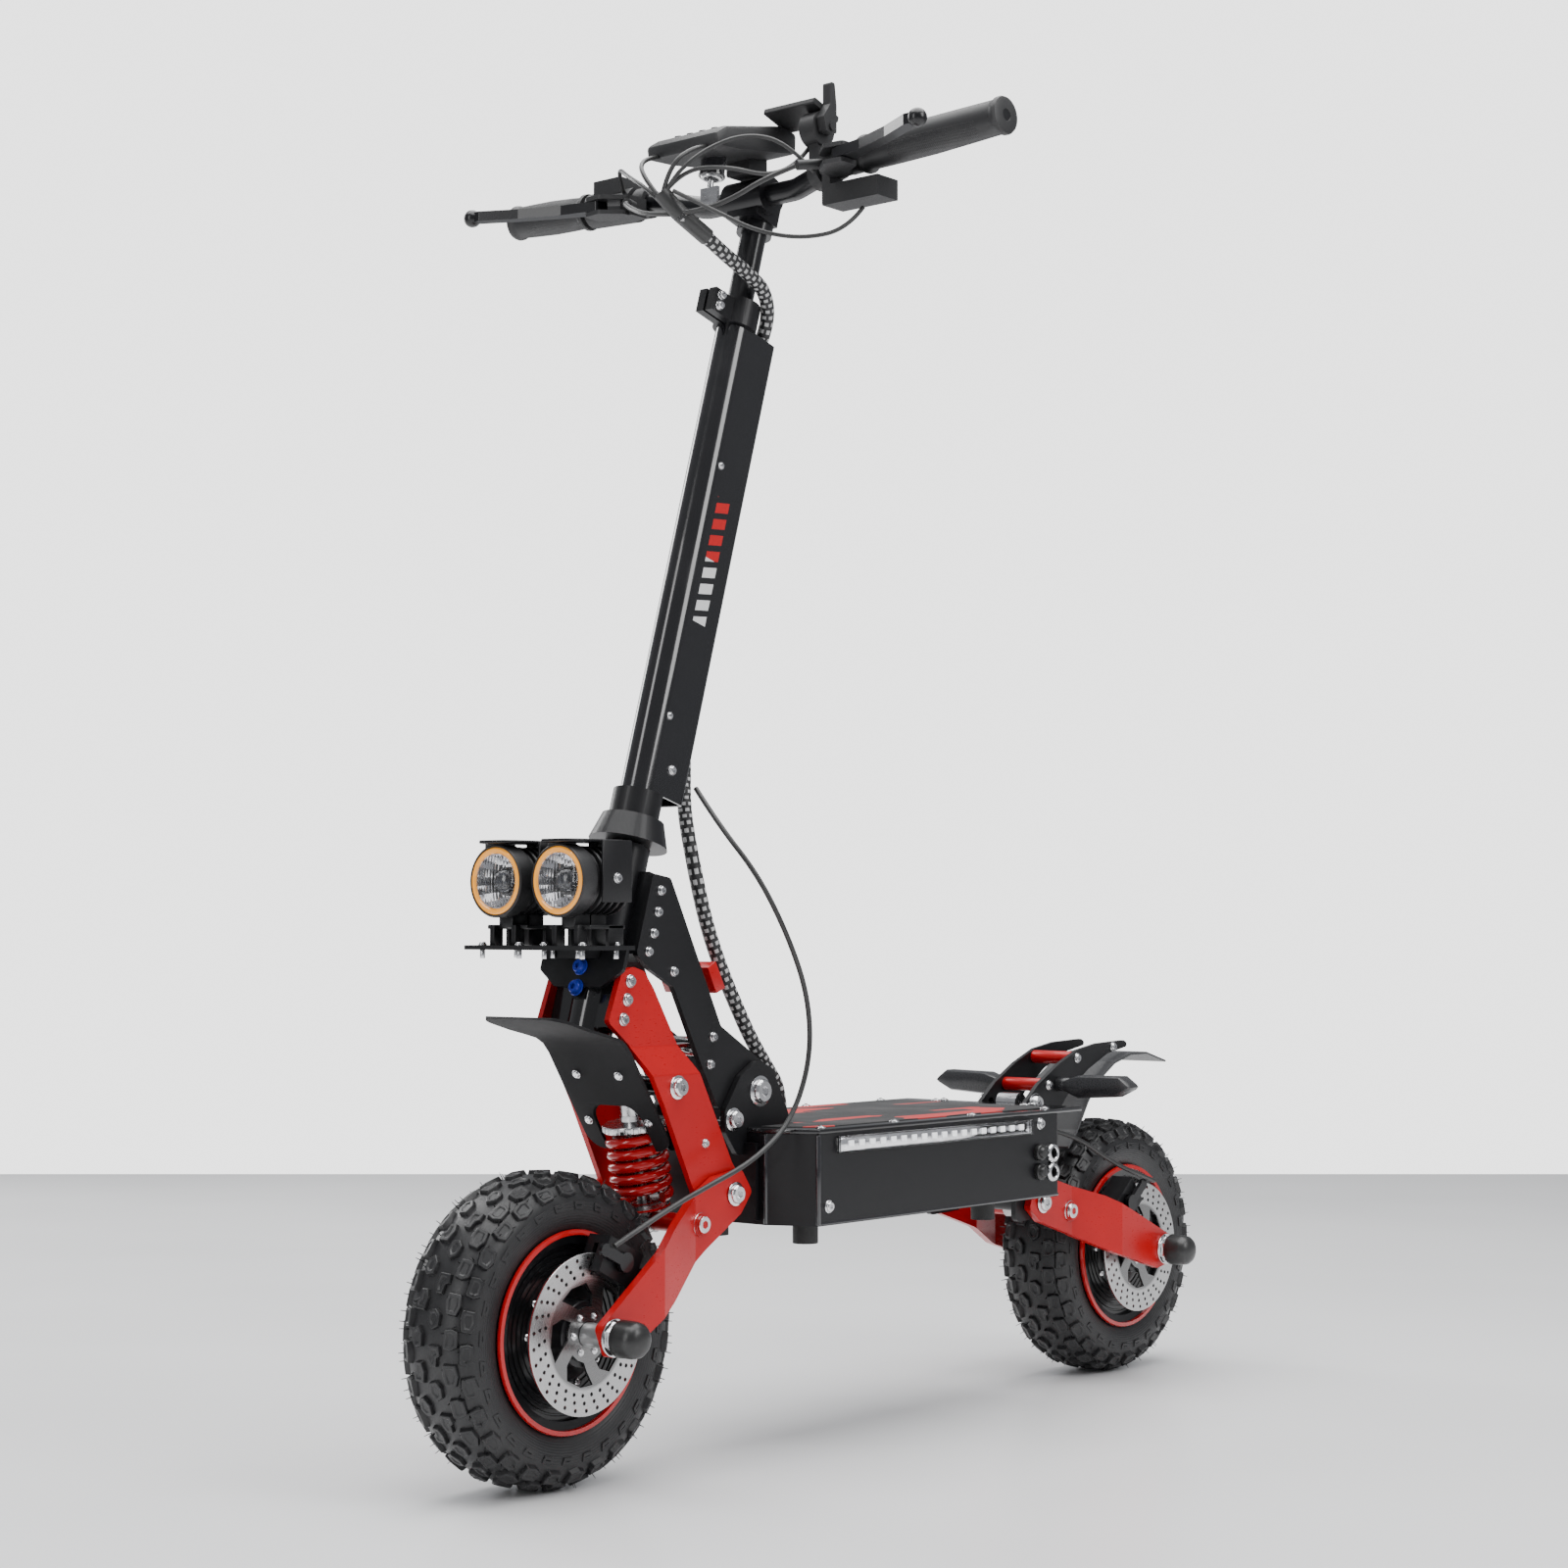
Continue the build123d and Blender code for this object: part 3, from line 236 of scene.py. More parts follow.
def axle_square(x, z):
    """The square of the distance from the nearer axle, in the side view."""
    along = abs(x) - AXLE_X
    up = z - TYRE_RADIUS
    return along * along + up * up


def powder_coat(name, colour, roughness=0.45, coat=0.0, grain=900.0, depth=0.05, dust=0.5):
    """Paint over metal, with the orange peel of its powder and a little dust."""
    finish = Finish(name)
    cloud = finish.noise(7, 4)
    peel = finish.noise(grain, 2)
    specks = finish.cells(1600)
    dusty = finish.ramp(cloud, 0.52, 0.75, 0.0, 0.02 * dust) + (specks < 0.06) * 0.03 * dust
    return finish.surface(
        Base_Color=finish.mix(dusty, (*colour[:3], 1), (0.2, 0.2, 0.19, 1)), Specular_IOR_Level=0.3,
        Roughness=finish.ramp(cloud, 0.3, 0.7, roughness * 0.88, roughness * 1.15),
        Normal=finish.bump(peel, depth), Coat_Weight=coat, Coat_Roughness=0.08)


def anodised(name, colour, roughness=0.3):
    """Dyed aluminium: a satin metal with fine rolled grain, steel spacers and rubber at the axle's ends."""
    finish = Finish(name)
    grain = finish.noise(900, 3, (0.2, 1, 1))
    rub = finish.noise(14, 5)
    x, y, z = finish.axes()
    square, across = axle_square(x, z), abs(y)
    spacer = (square < SPACER_SQUARE) * (across < SPACER_END)
    cap = (square < CAP_SQUARE) * (across > CAP_START)
    tint = finish.mix(finish.ramp(rub, 0.35, 0.7), (*colour[:3], 1), shade(colour, 0.84))
    tint = finish.mix(spacer, tint, (0.55, 0.55, 0.55, 1))
    tint = finish.mix(cap, tint, (0.012, 0.012, 0.012, 1))
    return finish.surface(
        Base_Color=tint, Metallic=spacer * 0.8 + 0.1 * (1 - cap), Coat_Weight=0.1, Coat_Roughness=0.2,
        Specular_IOR_Level=0.35,
        Roughness=finish.ramp(grain, 0.3, 0.7, roughness * 0.9, roughness * 1.25) + (rub - 0.5) * 0.06,
        Normal=finish.bump(grain, 0.008))


def bright_metal(name, colour=(0.72, 0.72, 0.73), roughness=0.14, grain=500.0):
    """Plated or bare steel with fine scratches and a few dull places."""
    finish = Finish(name)
    scratches = finish.noise(grain, 4, (1, 0.15, 1))
    dull = finish.noise(60, 3)
    return finish.surface(
        Base_Color=finish.mix(finish.ramp(dull, 0.4, 0.7), (*colour, 1), shade(colour, 0.78)), Metallic=1.0,
        Roughness=finish.ramp(scratches, 0.3, 0.7, roughness * 0.7, roughness * 1.5),
        Normal=finish.bump(scratches, 0.012))


def disc_steel(name):
    """A ground brake disc: rings of fine grinding, a polished track and a darker middle."""
    finish = Finish(name)
    x, _, z = finish.axes()
    radius = axle_square(x, z).root()
    rings = finish.node("ShaderNodeTexNoise", {"noise_dimensions": "1D"},
                        {"W": radius, "Scale": 3.0, "Detail": 4.0})
    track = finish.ramp(radius, 47, 50)
    tint = finish.mix(track, (0.22, 0.22, 0.22, 1), (0.50, 0.50, 0.50, 1))
    return finish.surface(Base_Color=tint, Metallic=1.0, Normal=finish.bump(rings, 0.03),
                          Roughness=finish.ramp(rings, 0.3, 0.7, 0.2, 0.36))


def tyre_rubber(name):
    """Black rubber with a moulded matt skin, faint dust and fine ribs round the sidewall."""
    finish = Finish(name)
    x, _, z = finish.axes()
    radius = axle_square(x, z).root()
    ribs = (radius * 2.6).sine() * (radius < 117) * (radius > 96) * 0.5
    skin = finish.noise(700, 4)
    dust = finish.noise(26, 5)
    dusty = finish.ramp(dust, 0.45, 0.8, 0.0, 0.3)
    tint = finish.mix(dusty, (0.010, 0.010, 0.011, 1), (0.04, 0.039, 0.038, 1))
    return finish.surface(Base_Color=tint, Roughness=finish.ramp(skin, 0.3, 0.7, 0.36, 0.52),
                          Specular_IOR_Level=0.45, Normal=finish.bump(skin * 0.4 + ribs, 0.16))


def soft_rubber(name, tone=0.022, roughness=0.62):
    """Plain black rubber with a faint bloom."""
    finish = Finish(name)
    skin = finish.noise(900, 3)
    bloom = finish.ramp(finish.noise(30, 4), 0.4, 0.8, 0, 0.5)
    return finish.surface(
        Base_Color=finish.mix(bloom, shade((tone, tone, tone), 0.6), (0.04, 0.04, 0.04, 1)),
        Roughness=finish.ramp(skin, 0.3, 0.7, roughness * 0.85, roughness * 1.15),
        Normal=finish.bump(skin, 0.06))


def grip_rubber(name):
    """Grip rubber: satin, with small raised diamonds only where the palm rests."""
    finish = Finish(name)
    _, y, z = finish.axes()
    cross = ((y + z) * 1.5).sine() * ((y - z) * 1.5).sine()
    palm = (abs(y) > 190) * (abs(y) < 296) * (z < 1258)
    worn = finish.ramp(finish.noise(40, 4), 0.4, 0.75, 0, 0.4)
    skin = finish.noise(900, 2)
    raised = finish.ramp(cross, -0.1, 0.25) * palm
    return finish.surface(
        Base_Color=finish.mix(worn, (0.012, 0.012, 0.013, 1), (0.03, 0.03, 0.03, 1)),
        Roughness=finish.ramp(raised, 0, 1, 0.5, 0.4), Normal=finish.bump(raised + skin * 0.1, 0.35))


def moulded_plastic(name, colour=(0.012, 0.012, 0.013), roughness=0.5, leather=260.0):
    """Moulded plastic with a fine spark-eroded grain."""
    finish = Finish(name)
    grain = finish.cells(leather, "SMOOTH_F1")
    fine = finish.noise(1200, 2)
    cloud = finish.noise(12, 4)
    tint = finish.mix(finish.ramp(cloud, 0.45, 0.8, 0, 0.2), (*colour, 1), (0.05, 0.05, 0.05, 1))
    return finish.surface(Base_Color=tint, Normal=finish.bump(grain + fine * 0.4, 0.06),
                          Roughness=finish.ramp(fine, 0.3, 0.7, roughness * 0.85, roughness * 1.2))


def glossy_plastic(name, colour=(0.012, 0.012, 0.014)):
    """Polished black plastic with faint finger smears."""
    finish = Finish(name)
    smear = finish.noise(28, 5)
    ripple = finish.noise(60, 2)
    return finish.surface(Base_Color=finish.mix(smear, (*colour, 1), shade(colour, 1.5)),
                          Roughness=finish.ramp(smear, 0.4, 0.7, 0.06, 0.22), Coat_Weight=0.5,
                          Coat_Roughness=0.05, Normal=finish.bump(ripple, 0.03))


def clear_lens(name):
    """A clear moulded lens with fine flutes."""
    finish = Finish(name)
    _, y, z = finish.axes()
    flutes = (y * 1.6).sine() * 0.5 + (z * 1.6).sine() * 0.5
    haze = finish.noise(50, 3)
    return finish.surface(Base_Color=(1, 1, 1, 1), Transmission_Weight=1.0, IOR=1.4,
                          Roughness=finish.ramp(haze, 0.3, 0.7, 0.01, 0.05), Normal=finish.bump(flutes, 0.05))


def lit(name, colour, strength, rim=(0.9, 0.9, 0.9)):
    """A moulded light that glows a little unevenly."""
    finish = Finish(name)
    glow = finish.noise(140, 2)
    return finish.surface(Base_Color=finish.mix(glow, (*rim, 1), (*colour, 1)), Roughness=0.25,
                          Emission_Color=finish.mix(glow, shade(colour, 0.7), (*colour, 1)),
                          Emission_Strength=strength, Coat_Weight=0.6)


def braided_sleeve(name):
    """A black braided sleeve whose openings show the pale loom inside."""
    finish = Finish(name)
    place = finish.node("ShaderNodeUVMap", {"uv_map": "weave"})
    along, around, _ = [axis * MM for axis in finish.axes(place)]
    shift = (along.whole() * 0.5).fraction()
    u = abs(along.fraction() - 0.5)
    v = abs((around + shift).fraction() - 0.5)
    window = (u < 0.26) * (v < 0.30)
    thread = finish.noise(1500, 2)
    height = 1 - (u * u + v * v) * 2.0 - window * 0.7 + thread * 0.2
    tint = finish.mix(window, (0.010, 0.010, 0.011, 1), (0.42, 0.42, 0.42, 1))
    return finish.surface(Base_Color=tint, Roughness=finish.ramp(thread, 0.3, 0.7, 0.42, 0.65),
                          Normal=finish.bump(height, 0.5))


def stem_lacquer(name, red, black):
    """Gloss black lacquer with a plain row of slanted bars on each side, red above and white below."""
    finish = Finish(name)
    x, _, z = finish.axes()
    station = (x - STEER.x) * STEER_UP.x + (z - STEER.z) * STEER_UP.z
    ahead = (x - STEER.x) * STEER_AHEAD.x + (z - STEER.z) * STEER_AHEAD.z
    slant = (station + ahead * 0.35) / BAR_PITCH
    inside = (station > BARS_LOW) * (station < BARS_HIGH) * (ahead < -7) * (ahead > -25)
    bars = inside * (slant.fraction() < 0.62)
    smear = finish.noise(16, 5)
    peel = finish.noise(420, 2)
    ink = finish.mix(station > BARS_MIDDLE, (0.60, 0.60, 0.60, 1), (*red, 1))
    return finish.surface(
        Base_Color=finish.mix(bars, (*black, 1), ink),
        Roughness=finish.ramp(smear, 0.35, 0.7, 0.10, 0.24), Coat_Weight=0.7, Coat_Roughness=0.04,
        Normal=finish.bump(peel, 0.02))


def grip_mat(name):
    """Gritty sheet with slanted red shards on black."""
    finish = Finish(name)
    across = abs(finish.axes()[1])
    slanted = finish.node("ShaderNodeMapping", {}, {"Vector": finish.place(), "Scale": (14, 44, 1),
                                                    "Rotation": (0, 0, 0.6)})
    shards = finish.node("ShaderNodeTexVoronoi", {}, {"Vector": slanted, "Scale": 1.0}, "Color")
    pick = finish.node("ShaderNodeSeparateColor", {}, {0: shards})
    edge = across / DECK_HALF
    red = (pick > 0.62) * (across > 40)
    grit = finish.cells(900)
    wear = finish.ramp(finish.noise(20, 4), 0.45, 0.8, 0, 0.25) * (2 - edge) * 0.5
    tint = finish.mix(red, (0.02, 0.02, 0.021, 1), (0.42, 0.03, 0.03, 1))
    tint = finish.mix(wear, tint, (0.16, 0.15, 0.15, 1))
    return finish.surface(Base_Color=tint, Roughness=0.8, Normal=finish.bump(grit, 0.35))


def studio_floor(name, tone):
    """A pale floor with a soft sheen."""
    finish = Finish(name)
    cloud = finish.noise(1.2, 3)
    return finish.surface(Base_Color=finish.mix(cloud, (*tone, 1), shade(tone, 0.97)),
                          Roughness=finish.ramp(cloud, 0.3, 0.7, 0.20, 0.27), Specular_IOR_Level=0.45)


# --- Modelling -------------------------------------------------------------------

def clear():
    """Object mode with nothing selected."""
    if bpy.context.object and bpy.context.object.mode != "OBJECT":
        bpy.ops.object.mode_set(mode="OBJECT")
    bpy.ops.object.select_all(action="DESELECT")


def choose(*objects):
    clear()
    for each in objects:
        each.select_set(True)
    bpy.context.view_layer.objects.active = objects[0]
    return objects[0]


def modified(piece, kind, **settings):
    """Applies one modifier."""
    choose(piece)
    modifier = piece.modifiers.new(kind.title(), kind)
    for name, value in settings.items():
        setattr(modifier, name, value)
    bpy.ops.object.modifier_apply(modifier=modifier.name)
    return piece


def rounded(piece, width, segments=2):
    return modified(piece, "BEVEL", width=width * MM, segments=segments, limit_method="ANGLE",
                    angle_limit=math.radians(40), use_clamp_overlap=True)


def moved(piece, turn, place=(0, 0, 0)):
    """Turns a piece about the origin and moves it to a place, and applies both."""
    choose(piece)
    piece.rotation_euler = turn
    piece.location = Vector(place) * MM
    bpy.ops.object.transform_apply(location=True, rotation=True, scale=True)
    return piece


def placed(piece, centre=(0, 0, 0), direction=(0, 0, 1)):
    """Turns a piece made along +Z to a direction and moves it to a place."""
    return moved(piece, Vector(direction).to_track_quat("Z", "Y").to_euler(), centre)


def faced_out():
    """Turns the faces of the piece in edit mode outwards, and leaves edit mode."""
    bpy.ops.mesh.select_all(action="SELECT")
    bpy.ops.mesh.normals_make_consistent(inside=False)
    bpy.ops.object.mode_set(mode="OBJECT")
    return bpy.context.object


def joined(pieces):
    first = choose(*pieces)
    if len(pieces) > 1:
        bpy.ops.object.join()
    return first


def copied(piece):
    choose(piece)
    bpy.ops.object.duplicate(linked=False)
    return bpy.context.object


def turned(profile, steps=48):
    """A circle that is pulled and widened along a profile of (radius, height).

    A profile that ends where it starts makes a ring, and any other is capped.
    """
    clear()
    radius, height = profile[0]
    bpy.ops.mesh.primitive_circle_add(vertices=steps, radius=radius * MM, location=(0, 0, height * MM))
    bpy.ops.object.transform_apply(location=True, rotation=False, scale=False)
    bpy.ops.object.mode_set(mode="EDIT")
    bpy.ops.mesh.select_all(action="SELECT")
    for (near, low), (far, high) in zip(profile, profile[1:]):
        bpy.ops.mesh.extrude_edges_move(TRANSFORM_OT_translate={"value": (0, 0, (high - low) * MM)})
        bpy.ops.transform.resize(value=(far / near, far / near, 1), center_override=(0, 0, high * MM))
    bpy.ops.mesh.select_all(action="SELECT")
    if profile[0] == profile[-1]:
        bpy.ops.mesh.remove_doubles(threshold=0.00001)
    else:
        bpy.ops.mesh.fill_holes(sides=0)
    return faced_out()


def cut(piece, *tools, operation="DIFFERENCE"):
    """Cuts a piece with other shapes, which are then thrown away."""
    for tool in tools:
        modified(piece, "BOOLEAN", operation=operation, object=tool, solver="EXACT")
        bpy.data.objects.remove(tool)
    return piece


def round_bar(start, end, radius, steps=32, bevel=0.8):
    """A round bar between two places, with its end edges rounded."""
    start = Vector(start)
    axis = Vector(end) - start
    length = axis.length
    bevel = min(bevel, radius * 0.4, length * 0.4)
    corner = bevel * 0.3
    profile = [(radius - bevel, 0), (radius - corner, corner), (radius, bevel), (radius, length - bevel),
               (radius - corner, length - corner), (radius - bevel, length)]
    return placed(turned(profile, steps), start, axis)


def slab(low, high, bevel=1.0, segments=2):
    """A block between two corners, with its edges rounded."""
    clear()
    centre = [(a + b) / 2 * MM for a, b in zip(low, high)]
    size = [(b - a) * MM for a, b in zip(low, high)]
    bpy.ops.mesh.primitive_cube_add(size=1, location=centre, scale=size)
    bpy.ops.object.transform_apply(location=True, rotation=True, scale=True)
    return rounded(bpy.context.object, bevel, segments)


def outline_plate(points, low, high, across="y", bevel=1.0):
    """A plate whose outline is drawn in the side (across y), front (x) or top (z) view."""
    clear()
    bpy.ops.mesh.primitive_circle_add(vertices=len(points), radius=1, fill_type="NGON")
    bpy.ops.object.mode_set(mode="EDIT")
    mesh = bmesh.from_edit_mesh(bpy.context.object.data)
    bpy.ops.mesh.select_mode(type="VERT")
    for place, (first, second) in enumerate(points):
        target = {"y": (first, low, second), "x": (low, first, second), "z": (first, second, low)}[across]
        bpy.ops.mesh.select_all(action="DESELECT")
        mesh.verts.ensure_lookup_table()
        mesh.verts[place].select_set(True)
        bpy.ops.transform.translate(value=Vector(target) * MM - mesh.verts[place].co)
    bpy.ops.mesh.select_all(action="SELECT")
    push = {"y": (0, 1, 0), "x": (1, 0, 0), "z": (0, 0, 1)}[across]
    bpy.ops.mesh.extrude_region_move(
        TRANSFORM_OT_translate={"value": [axis * (high - low) * MM for axis in push]})
    plate = faced_out()
    return rounded(plate, bevel) if bevel else plate


def both_sides(piece):
    """Joins a piece on the left with its mirror image on the right."""
    other = copied(piece)
    bpy.ops.object.mode_set(mode="EDIT")
    bpy.ops.mesh.select_all(action="SELECT")
    bpy.ops.transform.resize(value=(1, -1, 1), center_override=(0, 0, 0))
    faced_out()
    return joined([piece, other])


def repeated(piece, count):
    """Copies of a piece round the Z axis through the origin, as one piece."""
    clear()
    bpy.ops.object.empty_add(rotation=(0, 0, math.tau / count))
    turn = bpy.context.object
    modified(piece, "ARRAY", count=count, use_relative_offset=False, use_object_offset=True,
             offset_object=turn)
    bpy.data.objects.remove(turn)
    return piece


def finished(piece, name, body, finish, replaces=(), smooth=35):
    """Names a piece, shades it, gives it its finish and puts it on its body."""
    choose(piece)
    piece.name = name
    piece.data.name = name
    bpy.ops.object.shade_smooth_by_angle(angle=math.radians(smooth))
    piece.data.materials.clear()
    piece.data.materials.append(FINISHES[finish])
    if body:
        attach(piece, body)
    if replaces:
        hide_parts(*replaces)


def at_both_axles(piece, name, part, finish, node=None, direction=(0, 1, 0), smooth=35):
    """Finishes a piece at the rear axle and a copy of it at the front one."""
    for end, side, each in (("front", 1, copied(piece)), ("rear", -1, piece)):
        placed(each, (side * AXLE_X, 0, TYRE_RADIUS), direction)
        nodes = [f"{end}_{node}"] if node else ()
        finished(each, f"{end}_{name}", f"{end}_{part}", finish, nodes, smooth)


def station_point(station, ahead=0.0):
    """A place measured up the steering axis and ahead of it."""
    return STEER + STEER_UP * station + STEER_AHEAD * ahead


def on_bar(left):
    """A place on one of the bar's two outer parts, and the bar's direction there."""
    side = 1 if left >= 0 else -1
    near, far = BAR_OUTER
    place = near.lerp(far, (abs(left) - near.y) / (far.y - near.y))
    step = far - near
    return BAR + Vector((place.x, side * place.y, place.z)), Vector((step.x, side * step.y, step.z))


FINISHES = {}


class ScooterSizes(bpy.types.PropertyGroup):
    """Sizes of the details that a user would change."""
    lug_pitches: IntProperty(name="Lug pitches", description="How often the tread repeats round a tyre",
                             default=14, min=10, max=24)
    lug_height: FloatProperty(name="Lug height", description="How far the tread stands above the carcass",
                              default=0.0034, unit="LENGTH")
    led_count: IntProperty(name="Side lights", description="Beads in each side strip", default=18,
                           min=6, max=40)
    sleeve_pitch: FloatProperty(name="Sleeve pitch", description="Length of one weave row of a cable sleeve",
                                default=0.0076, unit="LENGTH")
    camera_place: FloatVectorProperty(name="Camera", description="Where the camera stands",
                                      default=(2.3069, 1.8399, 0.5101), unit="LENGTH")
    lens: FloatProperty(name="Lens", description="The camera's focal length in millimetres", default=65.3)
    hairs: BoolProperty(name="Tyre hairs", description="Adds the moulding hairs of a new tyre", default=True)


class ScooterColours(bpy.types.PropertyGroup):
    """The colours of the main finishes."""
    red: FloatVectorProperty(name="Red parts", description="Colour of the plates, arms and springs",
                             default=(0.44, 0.001, 0.003), subtype="COLOR")
    black: FloatVectorProperty(name="Black parts", description="Colour of the painted frame",
                               default=(0.004, 0.004, 0.005), subtype="COLOR")
    amber: FloatVectorProperty(name="Lamp rings", description="Colour of the rings in the lamps",
                               default=(0.80, 0.30, 0.02), subtype="COLOR")
    blue: FloatVectorProperty(name="Blue bolts", description="Colour of the two bolts below the lamps",
                              default=(0.02, 0.04, 0.42), subtype="COLOR")
    floor: FloatVectorProperty(name="Floor", description="Colour of the floor", default=(0.88, 0.88, 0.885),
                               subtype="COLOR")


class SCOOTER_OT_finishes(bpy.types.Operator):
    """Makes every finish, and dresses the frame's own parts in them"""
    bl_idname = "scooter.finishes"
    bl_label = "Finishes"

    def execute(self, context):
        colours = context.scene.scooter_colours
        red, black = tuple(colours.red), tuple(colours.black)
        recipes = [
            ("frame black", powder_coat, black, 0.42, 0.1),
            ("satin black", powder_coat, black, 0.3, 0.3, 600, 0.03),
            ("gloss black", powder_coat, (0.010, 0.010, 0.011), 0.14, 0.7, 420, 0.02, 0.3),
            ("stem lacquer", stem_lacquer, red, black),
            ("red plate", anodised, red),
            ("red spring", powder_coat, red, 0.22, 0.6, 500, 0.02, 0.3),
            ("reflector", bright_metal, (0.92, 0.92, 0.94), 0.05, 200),
            ("dark glass", glossy_plastic, (0.02, 0.022, 0.028)),
            ("seal", soft_rubber, 0.02, 0.35),
            ("fender", powder_coat, black, 0.7, 0.0, 700, 0.03, 0.2),
            ("blue bolt", anodised, tuple(colours.blue), 0.2),
            ("chrome", bright_metal, (0.78, 0.78, 0.79), 0.12),
            ("steel", bright_metal, (0.50, 0.50, 0.50), 0.26, 300),
            ("damper", bright_metal, (0.66, 0.66, 0.67), 0.22, 300),
            ("disc", disc_steel),
            ("tyre", tyre_rubber),
            ("rubber", soft_rubber),
            ("cable", soft_rubber, 0.03, 0.4),
            ("grip", grip_rubber),
            ("plastic", moulded_plastic),
            ("dark grey", moulded_plastic, (0.035, 0.036, 0.038), 0.42, 500),
            ("faceted", moulded_plastic, (0.02, 0.02, 0.022), 0.28, 90),
            ("dash", glossy_plastic),
            ("lens", clear_lens),
            ("amber", lit, tuple(colours.amber), 0.6, (0.8, 0.33, 0.03)),
            ("bead", lit, (0.95, 0.97, 1.0), 0.5),
            ("sleeve", braided_sleeve),
            ("mat", grip_mat),
            ("battery", moulded_plastic, (0.03, 0.08, 0.22), 0.35),
            ("floor", studio_floor, tuple(colours.floor)),
        ]
        for name, make, *values in recipes:
            FINISHES[name] = make(name, *values)
        dressed = {
            "frame black": ["deck_case", "hinge_bracket", "kick_bracket", "neck_plates", "stem_collars",
                            "front_fender", "headlight_bracket", "front_caliper", "rear_caliper"],
            "satin black": ["deck_lid", "head_tube", "handlebar", "inner_tube", "left_brake_lever",
                            "right_brake_lever", "front_hub", "rear_hub", "front_caliper_lever",
                            "rear_caliper_lever"],
            "gloss black": ["fork_column"],
            "stem lacquer": ["stem_column"],
            "red plate": ["fork_plates", "front_arms", "rear_arms"],
            "red spring": ["front_spring", "rear_spring", "horn_button", "mode_button"],
            "chrome": ["pivot_bolts", "steering_bolts", "neck_bolts", "deck_screws"],
            "steel": ["headset_bearings", "front_shock_rod", "rear_shock_rod", "motor_controllers"],
            "damper": ["front_shock_body", "rear_shock_body", "ignition_key"],
            "disc": ["front_disc", "rear_disc"],
            "tyre": ["front_tyre", "rear_tyre"],
            "rubber": ["rubber_feet", "fold_harness", "steer_harness", "bar_cables"],
            "cable": ["front_brake_line", "rear_brake_line"],
            "grip": ["grips"],
            "plastic": ["bar_controls", "throttle_lever", "side_ports", "headlight_bodies"],
            "dark grey": ["rear_mudguard"],
            "faceted": ["turn_signals"],
            "dash": ["display"],
            "lens": ["led_strips", "headlight_lenses"],
            "battery": ["battery_pack"],
        }
        for finish, nodes in dressed.items():
            for node in nodes:
                part = NODES[node]
                if not part.material_slots:
                    part.data.materials.append(None)
                for each in part.material_slots:
                    each.material = FINISHES[finish]
        return {"FINISHED"}


class SCOOTER_OT_stage(bpy.types.Operator):
    """Adds the floor, the camera and the studio lights"""
    bl_idname = "scooter.stage"
    bl_label = "Stage"

    def execute(self, context):
        sizes = context.scene.scooter_sizes
        clear()
        place = Vector(sizes.camera_place)
        look = CAMERA_LOOK.normalized()
        bpy.ops.object.camera_add(location=place, rotation=look.to_track_quat("-Z", "Y").to_euler())
        camera = context.object
        camera.data.lens = sizes.lens
        camera.data.sensor_width = 36
        context.scene.camera = camera
        flat = Vector((look.x, look.y, 0)).normalized()
        turn = math.atan2(flat.y, flat.x)
        middle = Vector((place.x, place.y, 0)) + flat * (FLOOR_AHEAD - FLOOR_BEHIND) / 2
        bpy.ops.mesh.primitive_plane_add(size=1, location=middle, rotation=(0, 0, turn))
        floor = context.object
        floor.scale = (FLOOR_AHEAD + FLOOR_BEHIND, FLOOR_WIDTH, 1)
        bpy.ops.object.transform_apply(location=True, rotation=True, scale=True)
        bpy.ops.object.mode_set(mode="EDIT")
        bpy.ops.mesh.subdivide(number_cuts=6)
        bpy.ops.object.mode_set(mode="OBJECT")
        floor.name = "studio_floor"
        floor.data.materials.append(FINISHES["floor"])
        side = Vector((-flat.y, flat.x, 0))
        centre = Vector((0, 0, 0.6))
        # Each light: its name, how far it stands away from the camera, to its left and up, its width
        # and height, and its power.
        lamps = [("key", -1.8, -2.6, 1.9, 1.5, 2.2, 75), ("fill", -2.4, 2.3, 1.0, 0.7, 2.6, 32),
                 ("top", 0.0, 0.0, 3.2, 4.2, 4.2, 300), ("back", 2.0, 2.2, 1.2, 0.8, 2.4, 50)]
        for name, away, left, up, size, height, power in lamps:
            clear()
            spot = centre + flat * away + side * left + Vector((0, 0, up))
            aim = (centre - spot).to_track_quat("-Z", "Y").to_euler()
            bpy.ops.object.light_add(type="AREA", location=spot, rotation=aim)
            light = context.object
            light.name = f"{name}_light"
            light.data.shape = "RECTANGLE"
            light.data.size = size
            light.data.size_y = height
            light.data.energy = power
        world = bpy.data.worlds.new("studio")
        world.use_nodes = True
        nodes, links = world.node_tree.nodes, world.node_tree.links
        nodes.clear()
        seen = nodes.new("ShaderNodeMixShader")
        links.new(nodes.new("ShaderNodeLightPath").outputs["Is Camera Ray"], seen.inputs["Fac"])
        # The room lights the scooter, and the brighter backdrop is only what stands behind it.
        room = (0.93, 0.95, 1.0, 1), 0.36
        backdrop = (1.0, 1.0, 1.0, 1), 2.7
        for place, (colour, strength) in enumerate((room, backdrop), 1):
            background = nodes.new("ShaderNodeBackground")
            background.inputs["Color"].default_value = colour
            background.inputs["Strength"].default_value = strength
            links.new(background.outputs[0], seen.inputs[place])
        links.new(seen.outputs[0], nodes.new("ShaderNodeOutputWorld").inputs["Surface"])
        context.scene.world = world
        return {"FINISHED"}


